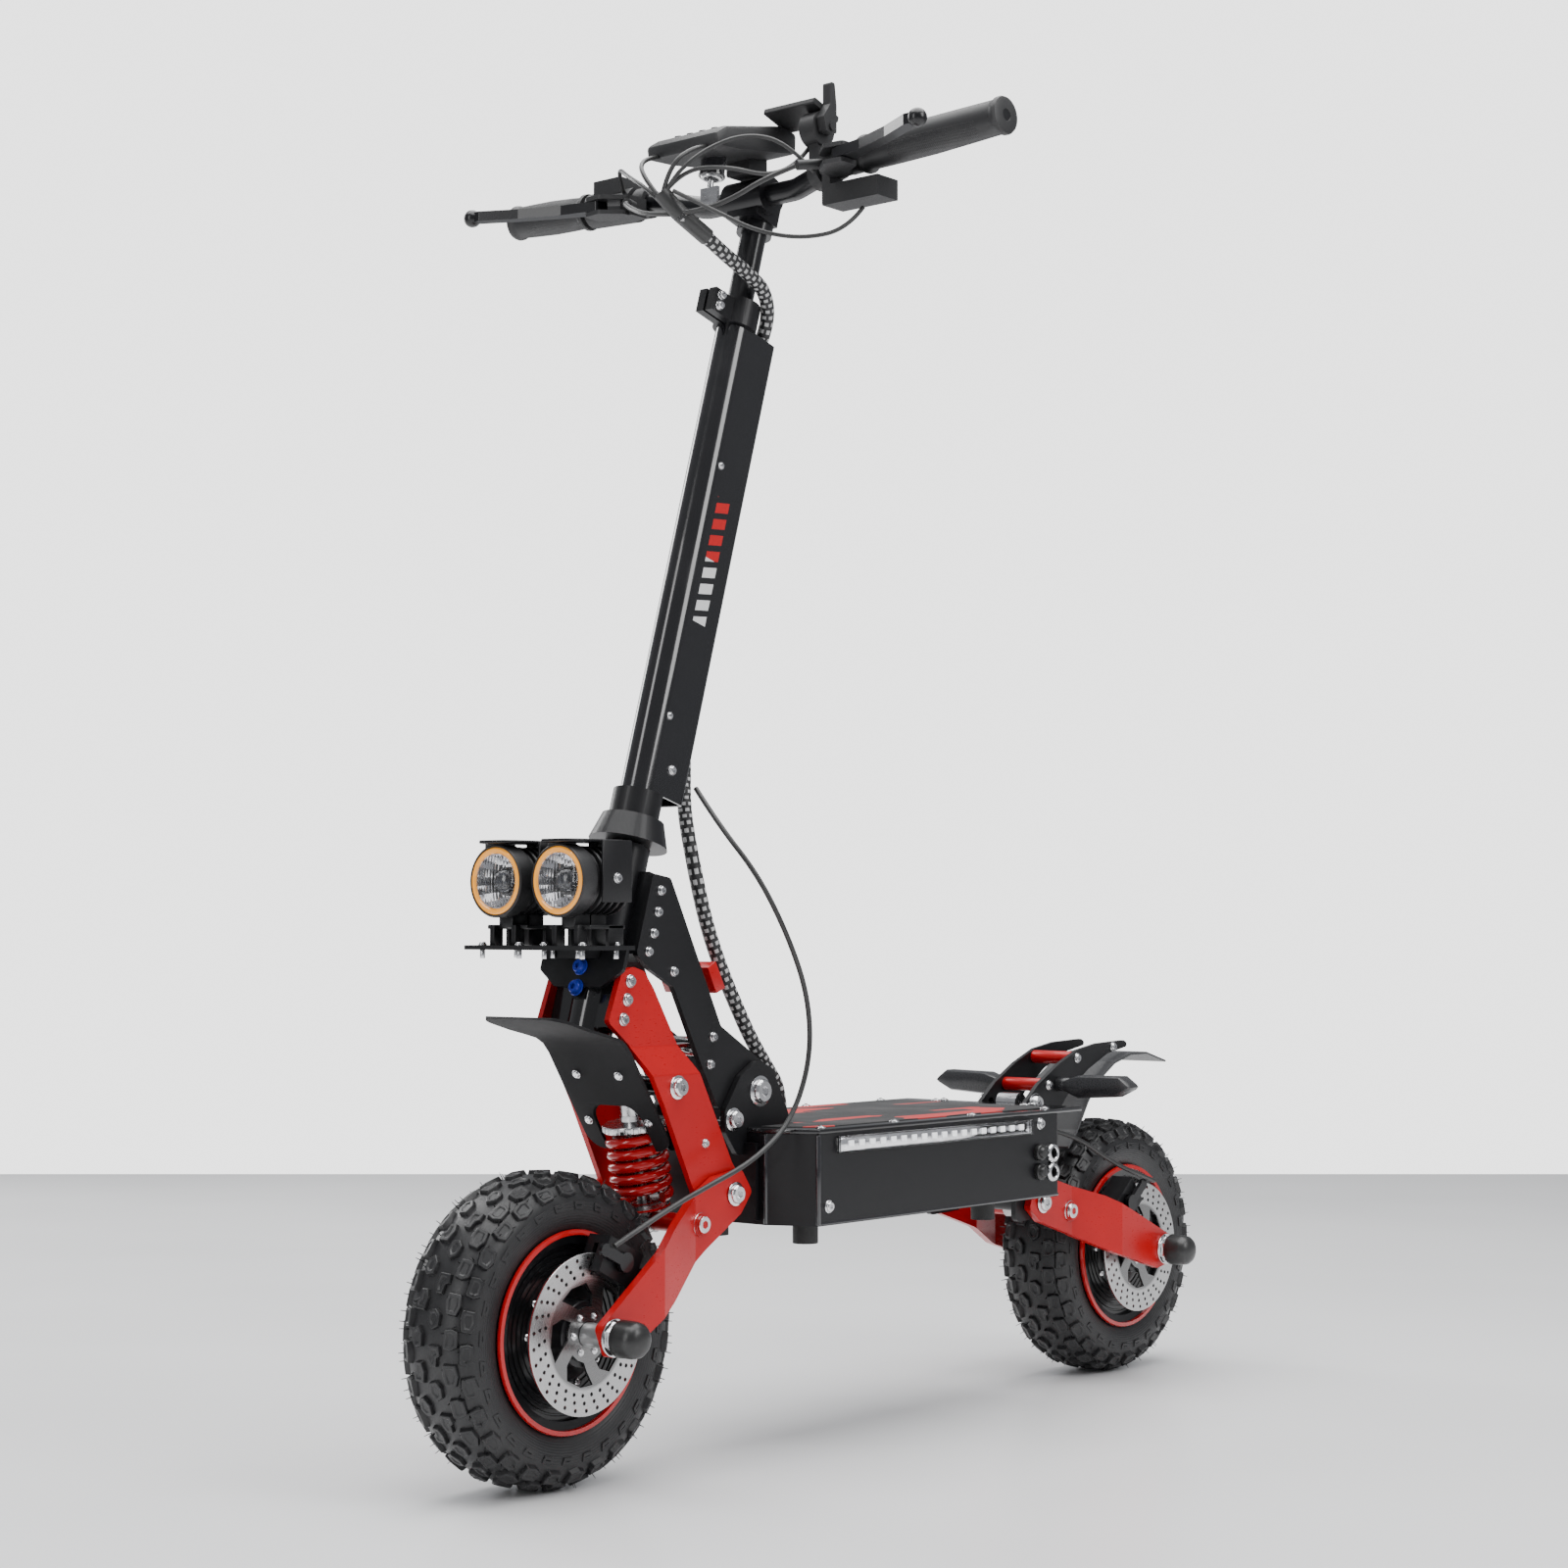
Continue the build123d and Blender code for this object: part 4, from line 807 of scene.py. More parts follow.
class SCOOTER_OT_tyres(bpy.types.Operator):
    """Adds both tyres, with their tread, side knobs and moulding hairs"""
    bl_idname = "scooter.tyres"
    bl_label = "Tyres"

    def execute(self, context):
        sizes = context.scene.scooter_sizes
        height = sizes.lug_height / MM
        section = [(88, -31), (91, -36), (98, -39.6), (108, -41.6), (117, -41.6), (125, -39), (131.5, -34),
                   (135.8, -27), (138.2, -18), (139.2, -9), (139.4, 0)]
        section += [(radius, -y) for radius, y in reversed(section[:-1])] + [section[0]]
        carcass = turned(section, 96)
        count = sizes.lug_pitches
        pitch = math.tau / count
        hook = [(-12, -7), (2, -10), (12, -6), (12, 3), (2, 4), (-1, 9), (-11, 8)]
        kite = [(-10, -8), (3, -9), (12, -1), (7, 8), (-5, 9), (-12, 2)]
        brick = [(-12, -8), (-2, -10), (12, -7), (13, 5), (2, 9), (-11, 7)]
        knob = [(-11, -8), (10, -9), (12, 0), (8, 8), (-9, 8), (-12, 1)]
        rib = [(-9, -4), (9, -4), (7, 5), (-6, 5)]
        # Each lug: its outline, its place round the tyre as a share of the pitch, its place across,
        # the carcass's radius there and its outward tilt.
        lugs = [
            (hook, 0.12, 10.5, 139.0, 4), (kite, 0.62, 8.5, 139.2, 3), (hook, 0.37, -9.5, 139.1, 4),
            (kite, 0.88, -10.5, 139.0, 4), (brick, 0.38, 26, 136.2, 24), (knob, 0.88, 27, 135.8, 25),
            (brick, 0.12, -27, 135.8, 25), (knob, 0.62, -26, 136.2, 24), (knob, 0.10, 37.2, 127.5, 52),
            (brick, 0.60, 37.2, 127.5, 52), (knob, 0.35, -37.2, 127.5, 52), (brick, 0.85, -37.2, 127.5, 52),
            (rib, 0.36, 41.4, 114, 84), (rib, 0.86, 41.4, 114, 84), (rib, 0.10, -41.4, 114, 84),
            (rib, 0.60, -41.4, 114, 84),
        ]
        blocks = []
        for outline, share, across, radius, tilt in lugs:
            flip = 1 if across > 0 else -1
            stand = height * (0.35 if outline is rib else 1.0)
            scale = flip * LUG_SCALE
            lug = outline_plate([(a * scale, b * scale) for a, b in outline], -2.5, stand, "x", 0)
            bpy.ops.object.mode_set(mode="EDIT")
            mesh = bmesh.from_edit_mesh(lug.data)
            bpy.ops.mesh.select_mode(type="FACE")
            bpy.ops.mesh.select_all(action="DESELECT")
            for face in mesh.faces:
                if abs(face.normal.x) > 0.9 and face.calc_center_median().x > 0:
                    face.select_set(True)
            bpy.ops.transform.resize(value=(1, 0.88, 0.88))
            bpy.ops.mesh.inset(thickness=0.0028)
            bpy.ops.mesh.inset(thickness=0.0005)
            bpy.ops.transform.translate(value=(-0.0009, 0, 0))
            bpy.ops.object.mode_set(mode="OBJECT")
            rounded(lug, 0.7, 1)
            moved(lug, (0, -flip * math.radians(tilt), 0), (radius, 0, across))
            blocks.append(moved(lug, (0, 0, share * pitch)))
        if sizes.hairs:
            places = [(0.05, 33, 132.8, 38), (0.3, 18.5, 138.0, 8), (0.45, 36, 130, 45), (0.6, 33, 132.8, 38),
                      (0.8, 18.5, 138.0, 8), (0.95, 40, 123, 65), (0.2, 38, 128, 55), (0.7, 30, 135, 30)]
            for share, across, radius, tilt in places:
                for flip in (1, -1):
                    clear()
                    bpy.ops.mesh.primitive_cone_add(vertices=4, radius1=HAIR_ROOT, radius2=HAIR_TIP,
                                                    depth=HAIR_SHORT if across < 20 else HAIR_LONG)
                    hair = moved(context.object, (0, math.radians(90 - flip * tilt), 0),
                                 (radius + 2, 0, flip * (across + 1)))
                    shift = 0.11 if flip < 0 else 0
                    blocks.append(moved(hair, (0, 0, (share + shift) * pitch)))
        rubber = joined([carcass, repeated(joined(blocks), count)])
        at_both_axles(rubber, "tyre_tread", "wheel", "tyre", "tyre", smooth=28)
        return {"FINISHED"}


class SCOOTER_OT_hubs(bpy.types.Operator):
    """Adds the motor hubs with their grooved covers, screws and red rim stripes, and the brake discs"""
    bl_idname = "scooter.hubs"
    bl_label = "Hubs"

    def execute(self, context):
        grooves = []
        for radius in (75, 69, 63, 57, 51):
            grooves += [(radius, 31.2), (radius - 0.6, 30.0), (radius - 2.0, 30.0), (radius - 2.6, 31.2)]
        left = [(HUB_RADIUS, 37), (HUB_RADIUS - 0.5, 31.2)] + grooves
        left += [(46, 31.6), (44, 34), (31, 34.5), (30, 36), (30, 55.4), (29, 56.2), (7.4, 56.2)]
        right = [(7.4, -45.8), (25, -45.8), (26, -45), (26, -36), (28, -34.5), (44, -33.6), (46, -31.6)]
        right += [(radius, -y) for radius, y in reversed(grooves)]
        right += [(HUB_RADIUS - 0.5, -31.2), (HUB_RADIUS, -37)]
        rim = [(RIM_RADIUS, -38.4), (RIM_RADIUS - 0.3, -37), (RIM_RADIUS - 0.3, 37), (RIM_RADIUS, 38.4)]
        hub = turned(left + right + rim + [left[0]], 96)
        screw = turned([(3.4, 0), (3.4, 1.6), (2.6, 2.6), (1.5, 2.6), (1.4, 1.2)], 12)
        screw = repeated(placed(screw, (49, 0, 31.2)), 10)
        back = placed(copied(screw), direction=(0, 0, -1))
        stripe = turned([(86.6, 38.3), (91.2, 37.4), (92.0, 39.4), (91.2, 41.6), (87.2, 41.8),
                         (86.6, 38.3)], 96)
        other = placed(copied(stripe), direction=(0, 0, -1))
        inner, outer = DISC_OFFSET - 1.2, DISC_OFFSET + 1.2
        edge = DISC_RADIUS - 0.5
        disc = turned([(7.6, inner), (edge, inner), (DISC_RADIUS, inner + 0.4), (DISC_RADIUS, outer - 0.4),
                       (edge, outer), (7.6, outer), (7.6, inner)], 96)
        window = [(25, 4), (25, 24), (25, 44), (33, 53), (46, 63), (47, 44), (46, 20), (36, 8)]
        points = [(r * math.cos(math.radians(a)), r * math.sin(math.radians(a))) for r, a in window]
        tools = [repeated(outline_plate(points, 52, 64, "z", 0), 5)]
        for radius, turn in ((54.0, 0.0), (60.8, 2.6), (67.6, 5.2)):
            x, y = radius * math.cos(math.radians(turn)), radius * math.sin(math.radians(turn))
            tools.append(repeated(round_bar((x, y, 52), (x, y, 64), 1.9, 12, 0), 30))
        cut(disc, joined(tools))
        heads = repeated(placed(socket_bolt(2.8, 2.2), (17.5, 0, 59)), 6)
        at_both_axles(hub, "hub_shell", "wheel", "satin black", "hub")
        at_both_axles(disc, "disc_plate", "wheel", "disc", "disc")
        at_both_axles(joined([screw, back, heads]), "hub_screws", "wheel", "chrome")
        at_both_axles(joined([stripe, other]), "rim_stripe", "wheel", "red spring")
        return {"FINISHED"}


class SCOOTER_OT_springs(bpy.types.Operator):
    """Adds the coil springs, the dishes below them and the knurled adjuster rings"""
    bl_idname = "scooter.springs"
    bl_label = "Springs"

    def execute(self, context):
        for end, eyes in SHOCKS.items():
            wire, radius, turns = (4.8, 25.0, 5.1) if end == "front" else (4.2, 20.5, 4.6)
            foot, head = [Vector((x, 0, z)) for x, z in eyes]
            axis = (head - foot).normalized()
            length = (head - foot).length
            low, high = SHOCK_FOOT + wire, length - SHOCK_HEAD - wire
            clear()
            bpy.ops.mesh.primitive_circle_add(vertices=14, radius=wire * MM, location=(radius * MM, 0, 0),
                                              rotation=(math.pi / 2, 0, 0))
            bpy.ops.object.transform_apply(location=True, rotation=True, scale=True)
            steps = int(28 * turns)
            coil = modified(context.object, "SCREW", angle=math.tau * turns, screw_offset=(high - low) * MM,
                            steps=steps, render_steps=steps, iterations=1, use_merge_vertices=False)
            bpy.ops.object.mode_set(mode="EDIT")
            bpy.ops.mesh.select_all(action="SELECT")
            bpy.ops.mesh.fill_holes(sides=0)
            placed(faced_out(), foot + axis * low, axis)
            finished(coil, f"{end}_coil", f"{end}_damper", "red spring", [f"{end}_spring"])
            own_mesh(coil)
            rim = radius + wire + 0.4
            knob = slab((rim - 1.6, -1.3, 0.6), (rim + 0.5, 1.3, 6.4), 0.5, 1)
            knurl = repeated(knob, 28)
            ring = turned([(rim - 0.4, 0.3), (rim, 1), (rim, 6), (rim - 0.4, 6.8), (20, 7.2), (13.0, 9),
                           (12.6, 14), (12.3, 14), (12.3, 0.3), (rim - 0.4, 0.3)], 64)
            adjuster = placed(joined([ring, knurl]), foot + axis * (length - SHOCK_HEAD), axis)
            finished(adjuster, f"{end}_adjuster", f"{end}_damper", "damper")
            dish = turned([(12, 0.2), (radius, 0.2), (radius, 1.6), (radius - 1, 2.4), (18, 3.0), (16, 6.2),
                           (12, 6.2), (12, 0.2)], 64)
            placed(dish, foot + axis * DISH_HEIGHT, axis)
            finished(dish, f"{end}_spring_dish", f"{end}_damper_rod", "red spring")
        return {"FINISHED"}


def socket_bolt(radius, height):
    """A washer and a domed head with a six-sided socket, standing on Z = 0."""
    washer = turned([(radius * 1.22, 0.0), (radius * 1.25, 0.4), (radius * 1.25, 1.0), (radius * 1.18, 1.4),
                     (radius * 0.6, 1.4)], 32)
    head = turned([(radius * 0.98, 1.3), (radius, 1.8), (radius, height - radius * 0.28),
                   (radius * 0.93, height - radius * 0.1), (radius * 0.8, height)], 32)
    depth = min(height * 0.55, radius * 0.6)
    hole = turned([(radius * 0.46, height - depth), (radius * 0.46, height + 1)], 6)
    return joined([washer, cut(head, hole)])


def bolt_pair(radius, height, x, y, z, aim=None):
    """Two socket bolts, left and right, that face outwards or where they are aimed."""
    return [placed(socket_bolt(radius, height), (x, side * y, z), aim or (0, side, 0)) for side in (1, -1)]


class SCOOTER_OT_bolts(bpy.types.Operator):
    """Adds the frame's socket bolts with their washers, the neck's two spacer tubes and the blue bolts"""
    bl_idname = "scooter.bolts"
    bl_label = "Bolts"

    def execute(self, context):
        # Each set: its body, the nodes it replaces, and its bolts' x, z, y, radius and height.
        sets = {
            "steering_bolt_heads": ("steering", ["steering_bolts"], [
                (384, 457, 46, 5, 4), (388, 440, 46, 5, 4), (393, 422, 46, 5, 4), (297, 304, 61, 3.5, 3.4),
                (335, 358, 61, 9, 7), (264, 255, 70.6, 9, 6)]),
            "neck_bolt_heads": ("neck", ["neck_bolts"], [
                (336, 541, 40, 4, 4), (340, 521, 40, 4, 4), (346, 501, 40, 4, 4), (353, 484, 40, 4, 4),
                (318, 465, 40, 4, 4), (262, 402, 40, 4, 4), (266, 376, 40, 4, 4)]),
            "deck_bolt_heads": ("deck", ["pivot_bolts"], [
                (201, 348, 47, 12, 7), (240, 322.6, 47, 9, 7), (-244, 209, 70.6, 9, 6),
                (-284, 312, 32, 9, 7)]),
            "deck_screw_heads": ("deck", ["deck_screws"], [(-170, 300, 118, 5, 4), (183, 240, 118, 5, 4)]),
            "front_arm_bolt": ("front_arm", [], [(312.2, 230.2, 70, 9, 5.5)]),
            "rear_arm_bolt": ("rear_arm", [], [(-295.7, 196.2, 70, 9, 5.5)]),
        }
        # The stem's bolts: station, place ahead of the axis, place across, radius and height.
        on_stem = [(300, -2, STEM_HALF, 3, 2.6), (560, -2, STEM_HALF, 3, 2.6), (251, -20, STEM_HALF, 4, 3.2),
                   (COLUMN_TOP + 7, STEM_HALF + 21, 11, 4, 5), (COLUMN_TOP + 18, STEM_HALF + 21, 11, 4, 5)]
        on_lid = [(-190, 110), (-60, 110), (70, 110), (185, 110), (-225, 60), (-240, 60)]
        for name, (body, nodes, places) in sets.items():
            heads = []
            for x, z, y, radius, height in places:
                heads += bolt_pair(radius, height, x, y, z)
            if name == "steering_bolt_heads":
                for station, ahead, y, radius, height in on_stem:
                    spot = station_point(station, ahead)
                    heads += bolt_pair(radius, height, spot.x, y, spot.z)
            if name == "neck_bolt_heads":
                heads.append(round_bar((201, -34, 348), (201, 34, 348), 16))
                heads.append(round_bar((264, -34, 392), (264, 34, 392), 10))
            if name == "deck_screw_heads":
                for x, y in on_lid:
                    heads += bolt_pair(4, 2, x, y, DECK_TOP, (0, 0, 1))
            finished(joined(heads), name, body, "chrome", nodes)
        blues = [placed(socket_bolt(6.5, 6), station_point(station, 27.5), STEER_AHEAD)
                 for station in (23, 43)]
        finished(joined(blues), "blue_bolts", "steering", "blue bolt")
        return {"FINISHED"}


class SCOOTER_OT_lamps(bpy.types.Operator):
    """Adds the two lamps: finned shells, glowing rings, reflectors, lenses, brows, brackets and bolts"""
    bl_idname = "scooter.lamps"
    bl_label = "Lamps"

    def execute(self, context):
        radius = LAMP_RADIUS
        back = -LAMP_LENGTH
        fins = [(6, back + 2), (radius - 8, back + 3)]
        for step in range(5):
            low = back + 6 + step * 8.6
            fins += [(radius - 8, low), (radius - 2.2, low + 0.4), (radius - 1.8, low + 1.2),
                     (radius - 2.2, low + 3.2), (radius - 8, low + 3.8)]
        shell = fins + [(radius - 7, -22), (radius - 1, -19), (radius, -17), (radius, -1.2), (radius - 1, 0),
                        (radius - 2.0, 0), (radius - 2.6, -1.5), (radius - 3.4, -25), (6, -27)]
        ring = [(radius - 2.7, -5), (radius - 2.7, -0.6), (radius - 4, 0.6), (radius - 6.6, 0.2),
                (radius - 8.2, -1.6), (radius - 8.2, -5), (radius - 2.7, -5)]
        bowl = [(4.5, -24.5), (9, -22.8), (15, -18.5), (20, -12.5), (23.4, -6.5), (25.2, -1.8), (27.0, -1.8),
                (25.0, -8), (21, -15), (15, -21), (9, -25), (4.5, -26), (4.5, -24.5)]
        projector = [(11.5, -24), (11.5, -12), (10.6, -11), (9.6, -11), (9.2, -12)]
        bulb = [(9.3, -12), (8.8, -9.6), (7.2, -7.2), (4.6, -5.6), (0.6, -5.0)]
        lens = [(25.2, -1.4), (25.2, -0.8), (20, 1.0), (12, 2.6), (4, 3.4), (0.4, 3.5)]
        pieces = {
            "lamp_shells": (shell, 64, "plastic", ["headlight_bodies"], 35),
            "lamp_rings": (ring, 64, "amber", [], 35),
            "lamp_reflectors": (bowl, 18, "reflector", [], 12),
            "lamp_projectors": (projector, 40, "plastic", [], 35),
            "lamp_bulbs": (bulb, 40, "dark glass", [], 60),
            "lamp_lenses": (lens, 48, "lens", ["headlight_lenses"], 60),
        }
        for name, (profile, steps, finish, nodes, smooth) in pieces.items():
            pair = [placed(turned(profile, steps), (LAMP.x, side * LAMP.y, LAMP.z), (1, 0, 0))
                    for side in (1, -1)]
            finished(joined(pair), name, "steering", finish, nodes, smooth)
        trims, bolts = [], []
        top, bottom = LAMP.z + radius, LAMP.z - radius
        brow = [(-66, -20), (-6, -22), (6, -15), (6, 15), (-6, 22), (-66, 20)]
        for side in (1, -1):
            y = side * LAMP.y
            trims.append(outline_plate([(LAMP.x + a, y + b) for a, b in brow], top + 1, top + 4, "z", 1.0))
            # Each block: its back and front from the lamp's face, its middle and half width across,
            # its low and high sides and its bevel.
            blocks = [(-62, -46, 0, 6, top - 6, top + 2, 1.0), (-58, -38, 0, 6, 490, bottom + 6, 1.2),
                      (-62, -16, 0, 26, 505, 509, 1.0), (-34, -14, 0, 9, 506, bottom + 4, 1.6)]
            for edge in (-1, 1):
                blocks += [(-60, -40, edge * 24, 2, 489, 509, 0.8), (-22, -10, edge * 14, 3, 489, 509, 0.8),
                           (-60, -22, edge * (radius + 1.4), 1.4, LAMP.z - 20, top + 3, 1.0)]
                spot = (LAMP.x - 40, y + edge * (radius + 2.8), LAMP.z + 2)
                bolts.append(placed(socket_bolt(4.0, 3.6), spot, (0, edge, 0)))
            for rear, front, across, half, low, high, bevel in blocks:
                trims.append(slab((LAMP.x + rear, y + across - half, low),
                                  (LAMP.x + front, y + across + half, high), bevel))
            for x in (LAMP.x - 52, LAMP.x - 8):
                for across in (y - 24, y + 24):
                    bolts.append(placed(socket_bolt(3.2, 3.2), (x, across, 490), (0, 0, 1)))
                    bolts.append(round_bar((x, across, 478), (x, across, 486), 2.4, 12, 0.4))
        finished(joined(trims), "lamp_brackets", "steering", "frame black")
        finished(joined(bolts), "lamp_bolts", "steering", "chrome")
        return {"FINISHED"}


def sleeve_piece(name, route, radius, pitch=None):
    """A cable along a smooth line through its route, with a weave map when a pitch is given."""
    clear()
    line = bpy.data.curves.new(name, "CURVE")
    line.dimensions = "3D"
    line.bevel_depth = radius * MM
    line.bevel_resolution = 5
    line.resolution_u = 14
    line.use_fill_caps = True
    spline = line.splines.new("NURBS")
    spline.points.add(len(route) - 1)
    for knot, place in zip(spline.points, route):
        knot.co = (*[value * MM for value in place], 1)
    spline.order_u = 3
    spline.use_endpoint_u = True
    length = sum((Vector(b) - Vector(a)).length for a, b in zip(route, route[1:]))
    piece = bpy.data.objects.new(name, line)
    bpy.context.scene.collection.objects.link(piece)
    choose(piece)
    bpy.ops.object.convert(target="MESH")
    piece = bpy.context.object
    if pitch:
        layer = piece.data.uv_layers[0]
        layer.name = "weave"
        rows = round(length / pitch)
        around = round(math.tau * radius / pitch)
        for corner in layer.data:
            u, v = corner.uv
            corner.uv = (u * rows, v * around)
    return piece


ROUTES = {
    "bar_loom": [(285, 16, 1196), (256, 22, 1180), (228, 26, 1164), (198, 27.5, 1152), (168, 26, 1139),
                 (150, 15, 1113), (151, 5, 1092)],
    "left_cable": [(224.5, 110.5, 1238.6), (246, 92, 1226), (262, 66, 1208), (276, 42, 1198),
                   (285, 19, 1196)],
    "right_cable": [(224.5, -110.5, 1238.6), (250, -90, 1230), (268, -62, 1216), (282, -30, 1203),
                    (288, 6, 1196.5)],
    "steer_loom": [(260, -8, 733), (252.5, -8, 700), (250, -8, 664), (253, -6, 630), (252, -2, 598),
                   (247, 2, 566)],
    "fold_loom": [(247, 2, 566), (242.5, 5.6, 537.2), (232, 8, 502), (216, 10, 466), (196, 12, 430),
                  (175, 13, 397), (153, 14, 370), (131, 14, 345), (131, 14.1, 314.2)],
    "front_brake_cable": [(262, 18, 640), (272, 56, 604), (254, 90, 556), (226, 104, 498), (196, 104, 440),
                          (190, 102, 380), (214, 98, 322), (266, 96, 288), (330, 94, 268), (386, 92, 250),
                          (440, 80, 222)],
    "rear_brake_cable": [(-209, 36, 292), (-238, 37, 290), (-268, 42, 287), (-298, 53, 282), (-328, 66, 270),
                         (-356, 74, 252), (-390, 81, 236), (-424, 82.5, 226), (-446, 82.5, 219)],
}


class SCOOTER_OT_cables(bpy.types.Operator):
    """Adds the sleeved looms and the brake cables"""
    bl_idname = "scooter.cables"
    bl_label = "Cables"

    def execute(self, context):
        pitch = context.scene.scooter_sizes.sleeve_pitch / MM
        # Each cable: its radius, its finish, the nodes it replaces and the bodies at its ends.
        plan = {
            "bar_loom": (7.0, "sleeve", ("bar_cables",), ("handlebar", "steering")),
            "left_cable": (2.5, "cable", (), ("handlebar",)),
            "right_cable": (2.5, "cable", (), ("handlebar",)),
            "steer_loom": (7.0, "sleeve", ("steer_harness",), ("steering", "neck")),
            "fold_loom": (7.0, "sleeve", ("fold_harness",), ("neck", "deck")),
            "front_brake_cable": (2.5, "cable", ("front_brake_line",), ("steering", "front_arm")),
            "rear_brake_cable": (2.5, "cable", ("rear_brake_line",), ("deck", "rear_arm")),
        }
        for name, (radius, finish, nodes, bodies) in plan.items():
            route = ROUTES[name]
            piece = sleeve_piece(name, route, radius, pitch if finish == "sleeve" else None)
            blended = len(bodies) == 2
            finished(piece, name, None if blended else bodies[0], finish, nodes, 60)
            if blended:
                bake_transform(piece)
        return {"FINISHED"}


class SCOOTER_OT_cockpit(bpy.types.Operator):
    """Adds the grips, the dash with its screen, buttons and lock, and the control wires"""
    bl_idname = "scooter.cockpit"
    bl_label = "Cockpit"

    def execute(self, context):
        pieces = []
        for start, side in GRIP_STARTS:
            place, direction = on_bar(side * start)
            length = (GRIP_END - start) * GRIP_STRETCH
            profile = [(11.2, 1), (18.6, 1), (19.2, 2.5), (19.2, 5), (18, 7), (16.4, 10)]
            profile += [(17.2, length * 0.25), (17.8, length * 0.5), (17.2, length * 0.75)]
            tail = [(16.6, -10), (17.0, -6), (18.2, -4), (18.4, -1), (17.4, 1.2), (14, 2.2), (6, 2.2),
                    (5.4, 1.2), (1.5, 1.2)]
            profile += [(radius, length + past) for radius, past in tail]
            pieces.append(placed(turned(profile, 48), place, direction))
        finished(joined(pieces), "grip_sleeves", "handlebar", "grip", ["grips"])
        x, z = BAR.x, BAR.z
        outline = [(-14, 40), (-15, 61), (6, 65), (92, 47), (107, 38), (104, 25), (70, 27), (8, 36)]
        case = outline_plate([(x + a, z + b) for a, b in outline], -47, 47, "y", 4.0)
        stay = slab((x - 6, -16, z + 20), (x + 22, 16, z + 40), 2.0)
        finished(joined([case, stay]), "dash_case", "handlebar", "plastic", ["display"])
        slope = math.atan2(18, 86)
        screen = moved(slab((0, -36, 0), (62, 36, 1.2), 0.8), (0, slope, 0), (x + 12, 0, z + 63.6))
        finished(screen, "dash_screen", "handlebar", "dash")
        buttons = []
        for y in (-24, -8, 8, 24):
            cap = turned([(3.4, 0), (3.6, 0.4), (3.6, 1.2), (3.0, 1.8), (0.6, 2.0)], 20)
            buttons.append(placed(cap, (x + 84, y, z + 48.8), (math.sin(slope), 0, math.cos(slope))))
        finished(joined(buttons), "dash_buttons", "handlebar", "rubber")
        aim = Vector((0.154, 0, -0.988))
        high = Vector((x + 58, 0, z + 30))
        barrel = turned([(4.0, 0), (12.4, 0), (12.4, 17), (13.4, 18), (13.4, 20), (12.6, 21), (8.0, 21.4),
                         (7.4, 20), (4.0, 20), (4.0, 0)], 40)
        finished(placed(barrel, high, aim), "key_lock", "handlebar", "dash")
        collar = turned([(7.6, 20.6), (10.4, 20.6), (10.8, 21.2), (10.4, 22.4), (7.8, 22.6), (7.6, 20.6)], 40)
        finished(placed(collar, high, aim), "lock_collar", "handlebar", "damper")
        wires = {
            "switch_wire": (2.1, [(178, 158, 1200), (196, 152, 1176), (232, 128, 1164), (262, 96, 1170),
                                  (282, 60, 1192), (296, 18, 1216)]),
            "throttle_wire": (2.2, [(167, 84, 1276), (178, 76, 1256), (214, 68, 1238), (258, 52, 1242),
                                    (292, 26, 1236), (297, 8, 1216)]),
            "dash_wire_left": (2.3, [(224, 22, 1268), (244, 30, 1266), (276, 30, 1262), (304, 20, 1240),
                                     (298, 6, 1214)]),
            "dash_wire_right": (2.3, [(224, -18, 1268), (250, -34, 1268), (284, -34, 1258), (306, -16, 1236),
                                      (299, 2, 1212)]),
            "pod_wire": (2.1, [(170, -164, 1266), (206, -138, 1274), (250, -96, 1266), (286, -52, 1244),
                               (302, -14, 1224), (298, 2, 1208)]),
            "left_lever_wire": (2.0, [(204, 118, 1236), (226, 104, 1262), (250, 74, 1272), (276, 44, 1258),
                                      (300, 22, 1230), (297, 6, 1212)]),
            "loom_boot": (8.6, [(298, 4, 1216), (288, 13, 1200), (270, 19, 1188), (252, 22.6, 1178)]),
        }
        for name, (radius, route) in wires.items():
            finished(sleeve_piece(name, route, radius), name, "handlebar", "cable", (), 60)
        return {"FINISHED"}


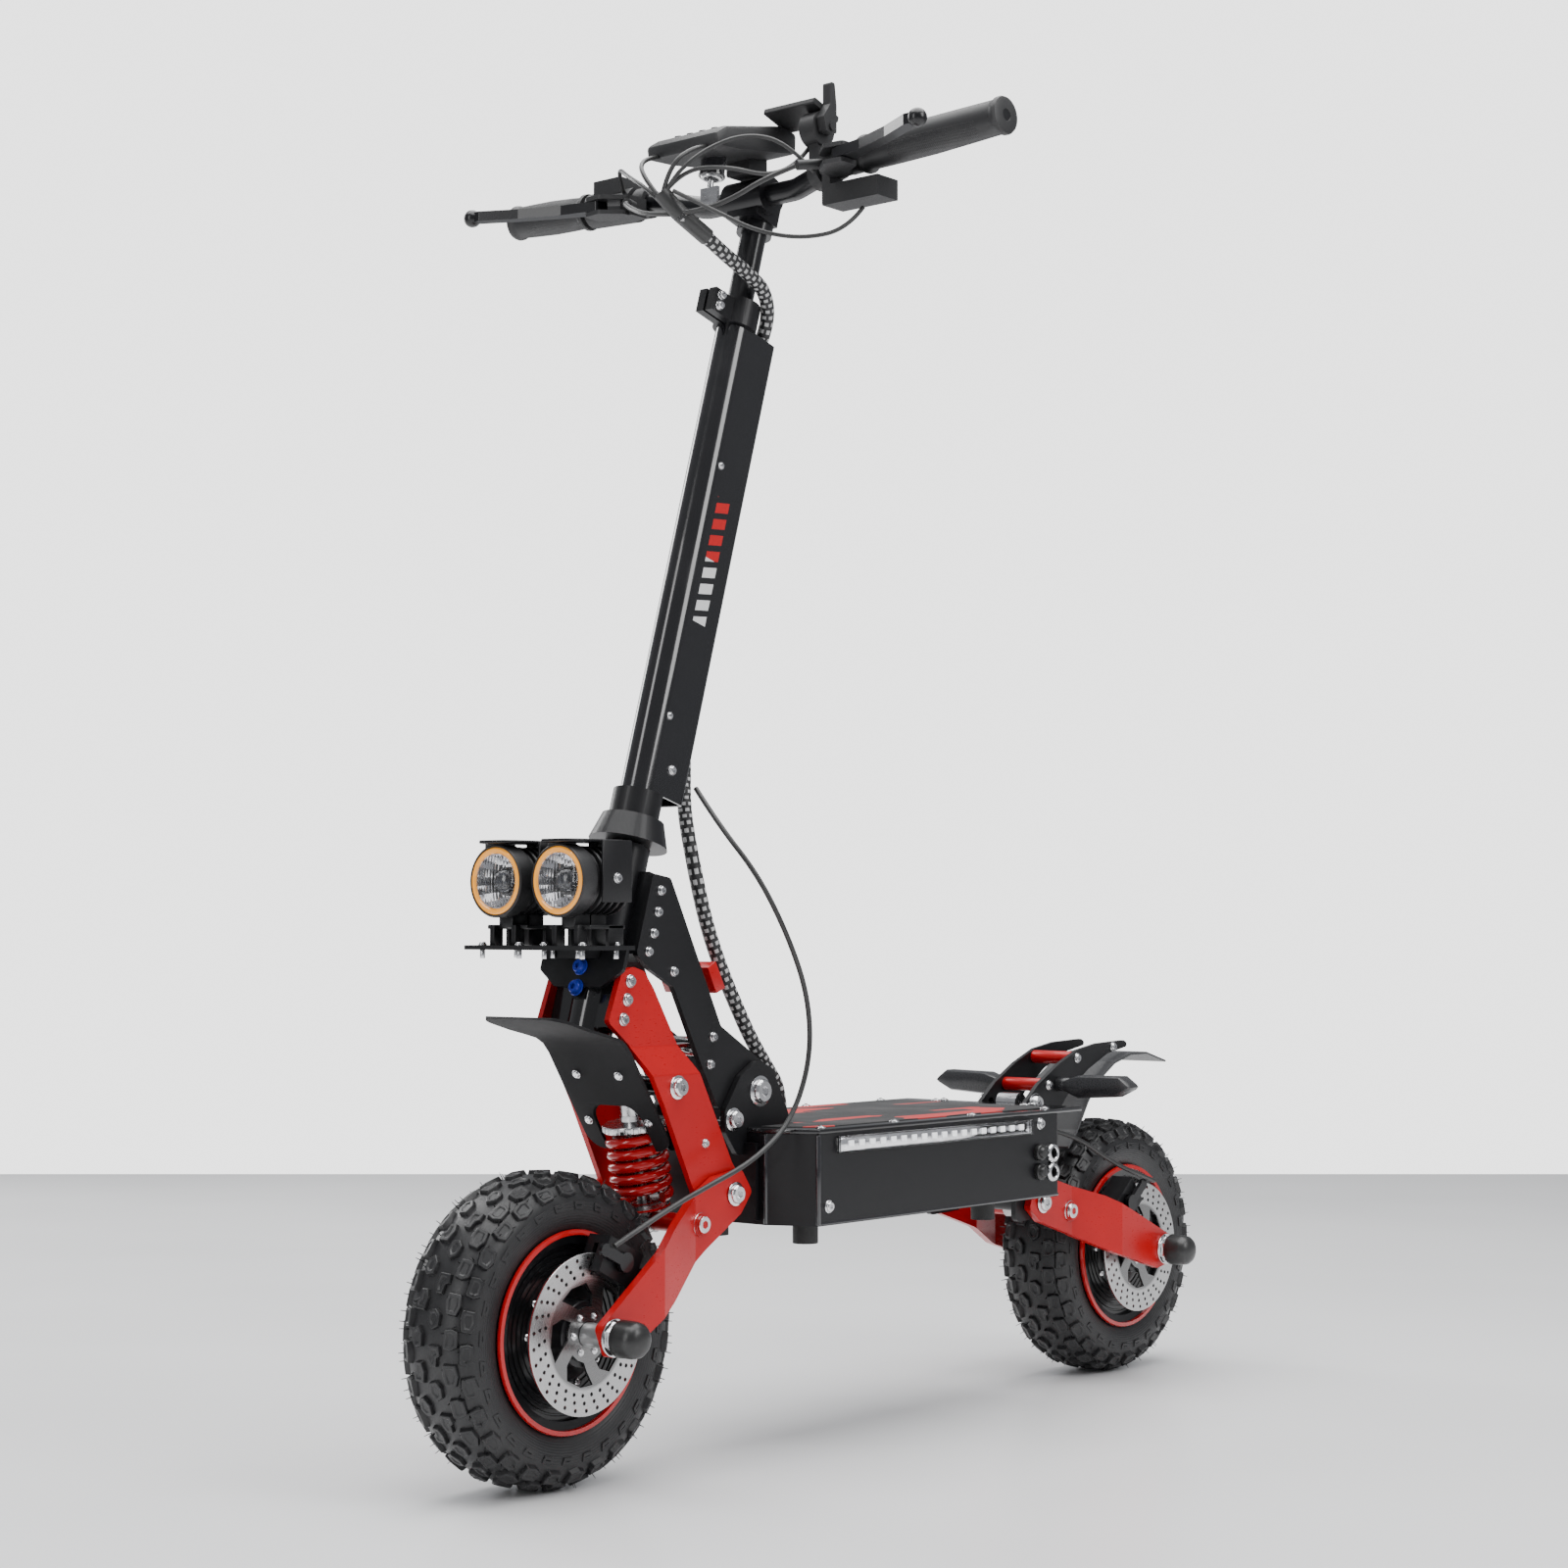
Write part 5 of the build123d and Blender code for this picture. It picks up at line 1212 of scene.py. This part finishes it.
class SCOOTER_OT_deck(bpy.types.Operator):
    """Adds the lid with its mat, the corner strips, side lights, socket rings, kick bars and signals"""
    bl_idname = "scooter.deck"
    bl_label = "Deck details"

    def execute(self, context):
        count = context.scene.scooter_sizes.led_count
        half = DECK_HALF
        lid = outline_plate([(-250, -half), (197, -half), (219, -70), (219, 70), (197, half), (-250, half)],
                            DECK_TOP - 5, DECK_TOP, "z", 1.6)
        finished(lid, "lid_plate", "deck", "gloss black", ["deck_lid"])
        beads, lips = [], []
        for step in range(count):
            x = FIRST_BEAD + step * (LAST_BEAD - FIRST_BEAD) / (count - 1)
            beads.append(slab((x - 4.2, half + 2.8, 295.4), (x + 4.2, half + 4.0, 301.4), 0.5, 1))
        finished(both_sides(joined(beads)), "side_light_beads", "deck", "bead")
        for z in (290.2, 304.4):
            lips.append(slab((-151, half, z), (170, half + 4.2, z + 1.4), 0.5))
        for x in (-152, 168.6):
            lips.append(slab((x, half, 290.2), (x + 2.0, half + 4.2, 305.8), 0.5))
        finished(both_sides(joined(lips)), "side_light_frames", "deck", "lens")
        bed = slab((-150, half + 1.2, 291.4), (168, half + 2.4, 304.6), 0.4)
        finished(both_sides(bed), "side_light_beds", "deck", "reflector")
        strips = [round_bar((x, y, 223), (x, y, 308.6), 2.4, 20) for x, y in ((197.5, 117.2), (218.2, 69.4))]
        strips.append(slab((-204, 116, 222.4), (196, 118.4, 225.4), 0.9))
        finished(both_sides(joined(strips)), "deck_corner_strips", "deck", "dash")
        mat = outline_plate([(-196, -104), (176, -104), (206, -66), (206, -53), (150, -53), (150, 53),
                             (206, 53), (206, 66), (176, 104), (-196, 104), (-210, 96), (-210, -96)],
                            DECK_TOP - 0.2, DECK_TOP + 1.1, "z", 0.5)
        finished(mat, "grip_mat", "deck", "mat")
        rings, caps = [], []
        for z in (268, 248):
            ring = turned([(5.6, 0), (9.8, 0), (10.2, 0.8), (10.0, 2.6), (8.8, 4.2), (6.4, 4.4), (5.6, 3.4),
                           (5.6, 0)], 40)
            rings.append(placed(ring, (-191, half, z), (0, 1, 0)))
            cap = turned([(8.4, 0.2), (8.8, 1.2), (8.6, 4.4), (7.6, 5.6), (5.8, 5.8), (5.4, 8.0), (4.4, 9.0),
                          (0.6, 9.2)], 36)
            caps.append(placed(cap, (-167, half, z + 2), (0, 1, 0)))
        finished(joined(rings), "socket_rings", "deck", "chrome")
        finished(joined(caps), "socket_caps", "deck", "seal")
        bars = [round_bar((x, -26.6, z), (x, 26.6, z), 7.3, 40, 1.0) for x, z in ((-367, 359), (-311, 331))]
        finished(joined(bars), "kick_bars", "deck", "red plate")
        heads = []
        for x, z in ((-367, 359), (-311, 331), (-440, 369)):
            heads += bolt_pair(4.6, 3.4, x, 32, z)
        finished(joined(heads), "kick_bolt_heads", "deck", "chrome")
        signal = outline_plate([(33, 328), (44, 324), (62, 317), (112, 320), (135, 331), (118, 343),
                                (62, 342), (44, 336)], -344, -318, "x", 7)
        stalk = round_bar((-331, 30, 331), (-331, 48, 331), 8, 24)
        finished(both_sides(joined([signal, stalk])), "signal_housings", "deck", "faceted", ["turn_signals"])
        return {"FINISHED"}


class SCOOTER_OT_sheets(bpy.types.Operator):
    """Adds the front fender with its screws, the axle's nuts and caps, and the neck's red cross plate"""
    bl_idname = "scooter.sheets"
    bl_label = "Fender and axle ends"

    def execute(self, context):
        line = [(481, 425.5), (462, 419.8), (440, 413.6), (420, 409), (405, 405.2), (396, 400), (388, 391),
                (374, 369), (358, 344), (342, 319), (326, 294)]
        under = [(x + 2.8, z - 2.0) for x, z in reversed(line)]
        fender = outline_plate(line + under, -52, 52, "y", 0)
        frame_box = slab((318, -52.2, 296), (484, 52.2, 470), 19, 8)
        notch = slab((290, -31, 260), (380, 31, 340), 16, 8)
        cut(fender, frame_box, operation="INTERSECT")
        cut(fender, notch)
        rounded(fender, 0.5, 1)
        finished(fender, "fender_sheet", "steering", "fender", ["front_fender"], 30)
        face = Vector((0.845, 0, -0.535))
        screws = []
        for share, across in ((0.20, 27), (0.66, 38)):
            screws += bolt_pair(3.8, 3.0, 390.8 - 62 * share, across, 389 - 97 * share, face)
        finished(joined(screws), "fender_screws", "steering", "chrome")
        caps, nuts = [], []
        for side in (1, -1):
            cap = turned([(16.4, 8.4), (17.0, 9.6), (16.8, 15), (16.6, 24), (15.6, 29.5), (13.0, 33),
                          (9, 35.4), (4, 36.4), (0.5, 36.5)], 48)
            caps.append(placed(cap, (0, side * 92, 0), (0, side, 0)))
            nut = turned([(13.2, 2.0), (13.9, 2.8), (13.9, 8.0), (13.2, 8.8)], 6)
            washer = turned([(16.5, 0.1), (17, 0.5), (17, 1.7), (16.5, 2.1)], 40)
            nuts.append(placed(joined([nut, washer]), (0, side * 92, 0), (0, side, 0)))
        at_both_axles(joined(caps), "axle_caps", "arm", "seal", direction=(0, 0, 1))
        at_both_axles(joined(nuts), "axle_nuts", "arm", "chrome", direction=(0, 0, 1))
        plate = outline_plate([(250, 474), (262, 468), (249, 443), (236, 448)], -33.6, 33.6, "y", 1.0)
        finished(plate, "neck_cross_plate", "neck", "red plate")
        return {"FINISHED"}


OPERATORS = [SCOOTER_OT_finishes, SCOOTER_OT_stage, SCOOTER_OT_tyres, SCOOTER_OT_hubs, SCOOTER_OT_springs,
             SCOOTER_OT_bolts, SCOOTER_OT_sheets, SCOOTER_OT_lamps, SCOOTER_OT_cables, SCOOTER_OT_cockpit,
             SCOOTER_OT_deck]


class SCOOTER_PT_panel(bpy.types.Panel):
    """Lists the scooter's builders in the sidebar"""
    bl_idname = "SCOOTER_PT_panel"
    bl_label = "Electric Kick Scooter"
    bl_space_type = "VIEW_3D"
    bl_region_type = "UI"
    bl_category = "Scooter"

    def draw(self, context):
        for group in (context.scene.scooter_sizes, context.scene.scooter_colours):
            for name in group.__annotations__:
                self.layout.prop(group, name)
        for operator in OPERATORS:
            self.layout.operator(operator.bl_idname)


CLASSES = [ScooterSizes, ScooterColours, *OPERATORS, SCOOTER_PT_panel]


def register():
    for each in CLASSES:
        bpy.utils.register_class(each)
    bpy.types.Scene.scooter_sizes = PointerProperty(type=ScooterSizes)
    bpy.types.Scene.scooter_colours = PointerProperty(type=ScooterColours)


def unregister():
    del bpy.types.Scene.scooter_colours
    del bpy.types.Scene.scooter_sizes
    for each in reversed(CLASSES):
        bpy.utils.unregister_class(each)


def main():
    """Builds the whole scooter and its stage."""
    register()
    bpy.ops.scooter.finishes()
    bpy.ops.scooter.stage()
    bpy.ops.scooter.tyres()
    bpy.ops.scooter.hubs()
    bpy.ops.scooter.springs()
    bpy.ops.scooter.bolts()
    bpy.ops.scooter.sheets()
    bpy.ops.scooter.lamps()
    bpy.ops.scooter.cables()
    bpy.ops.scooter.cockpit()
    bpy.ops.scooter.deck()


if __name__ == "__main__":
    main()
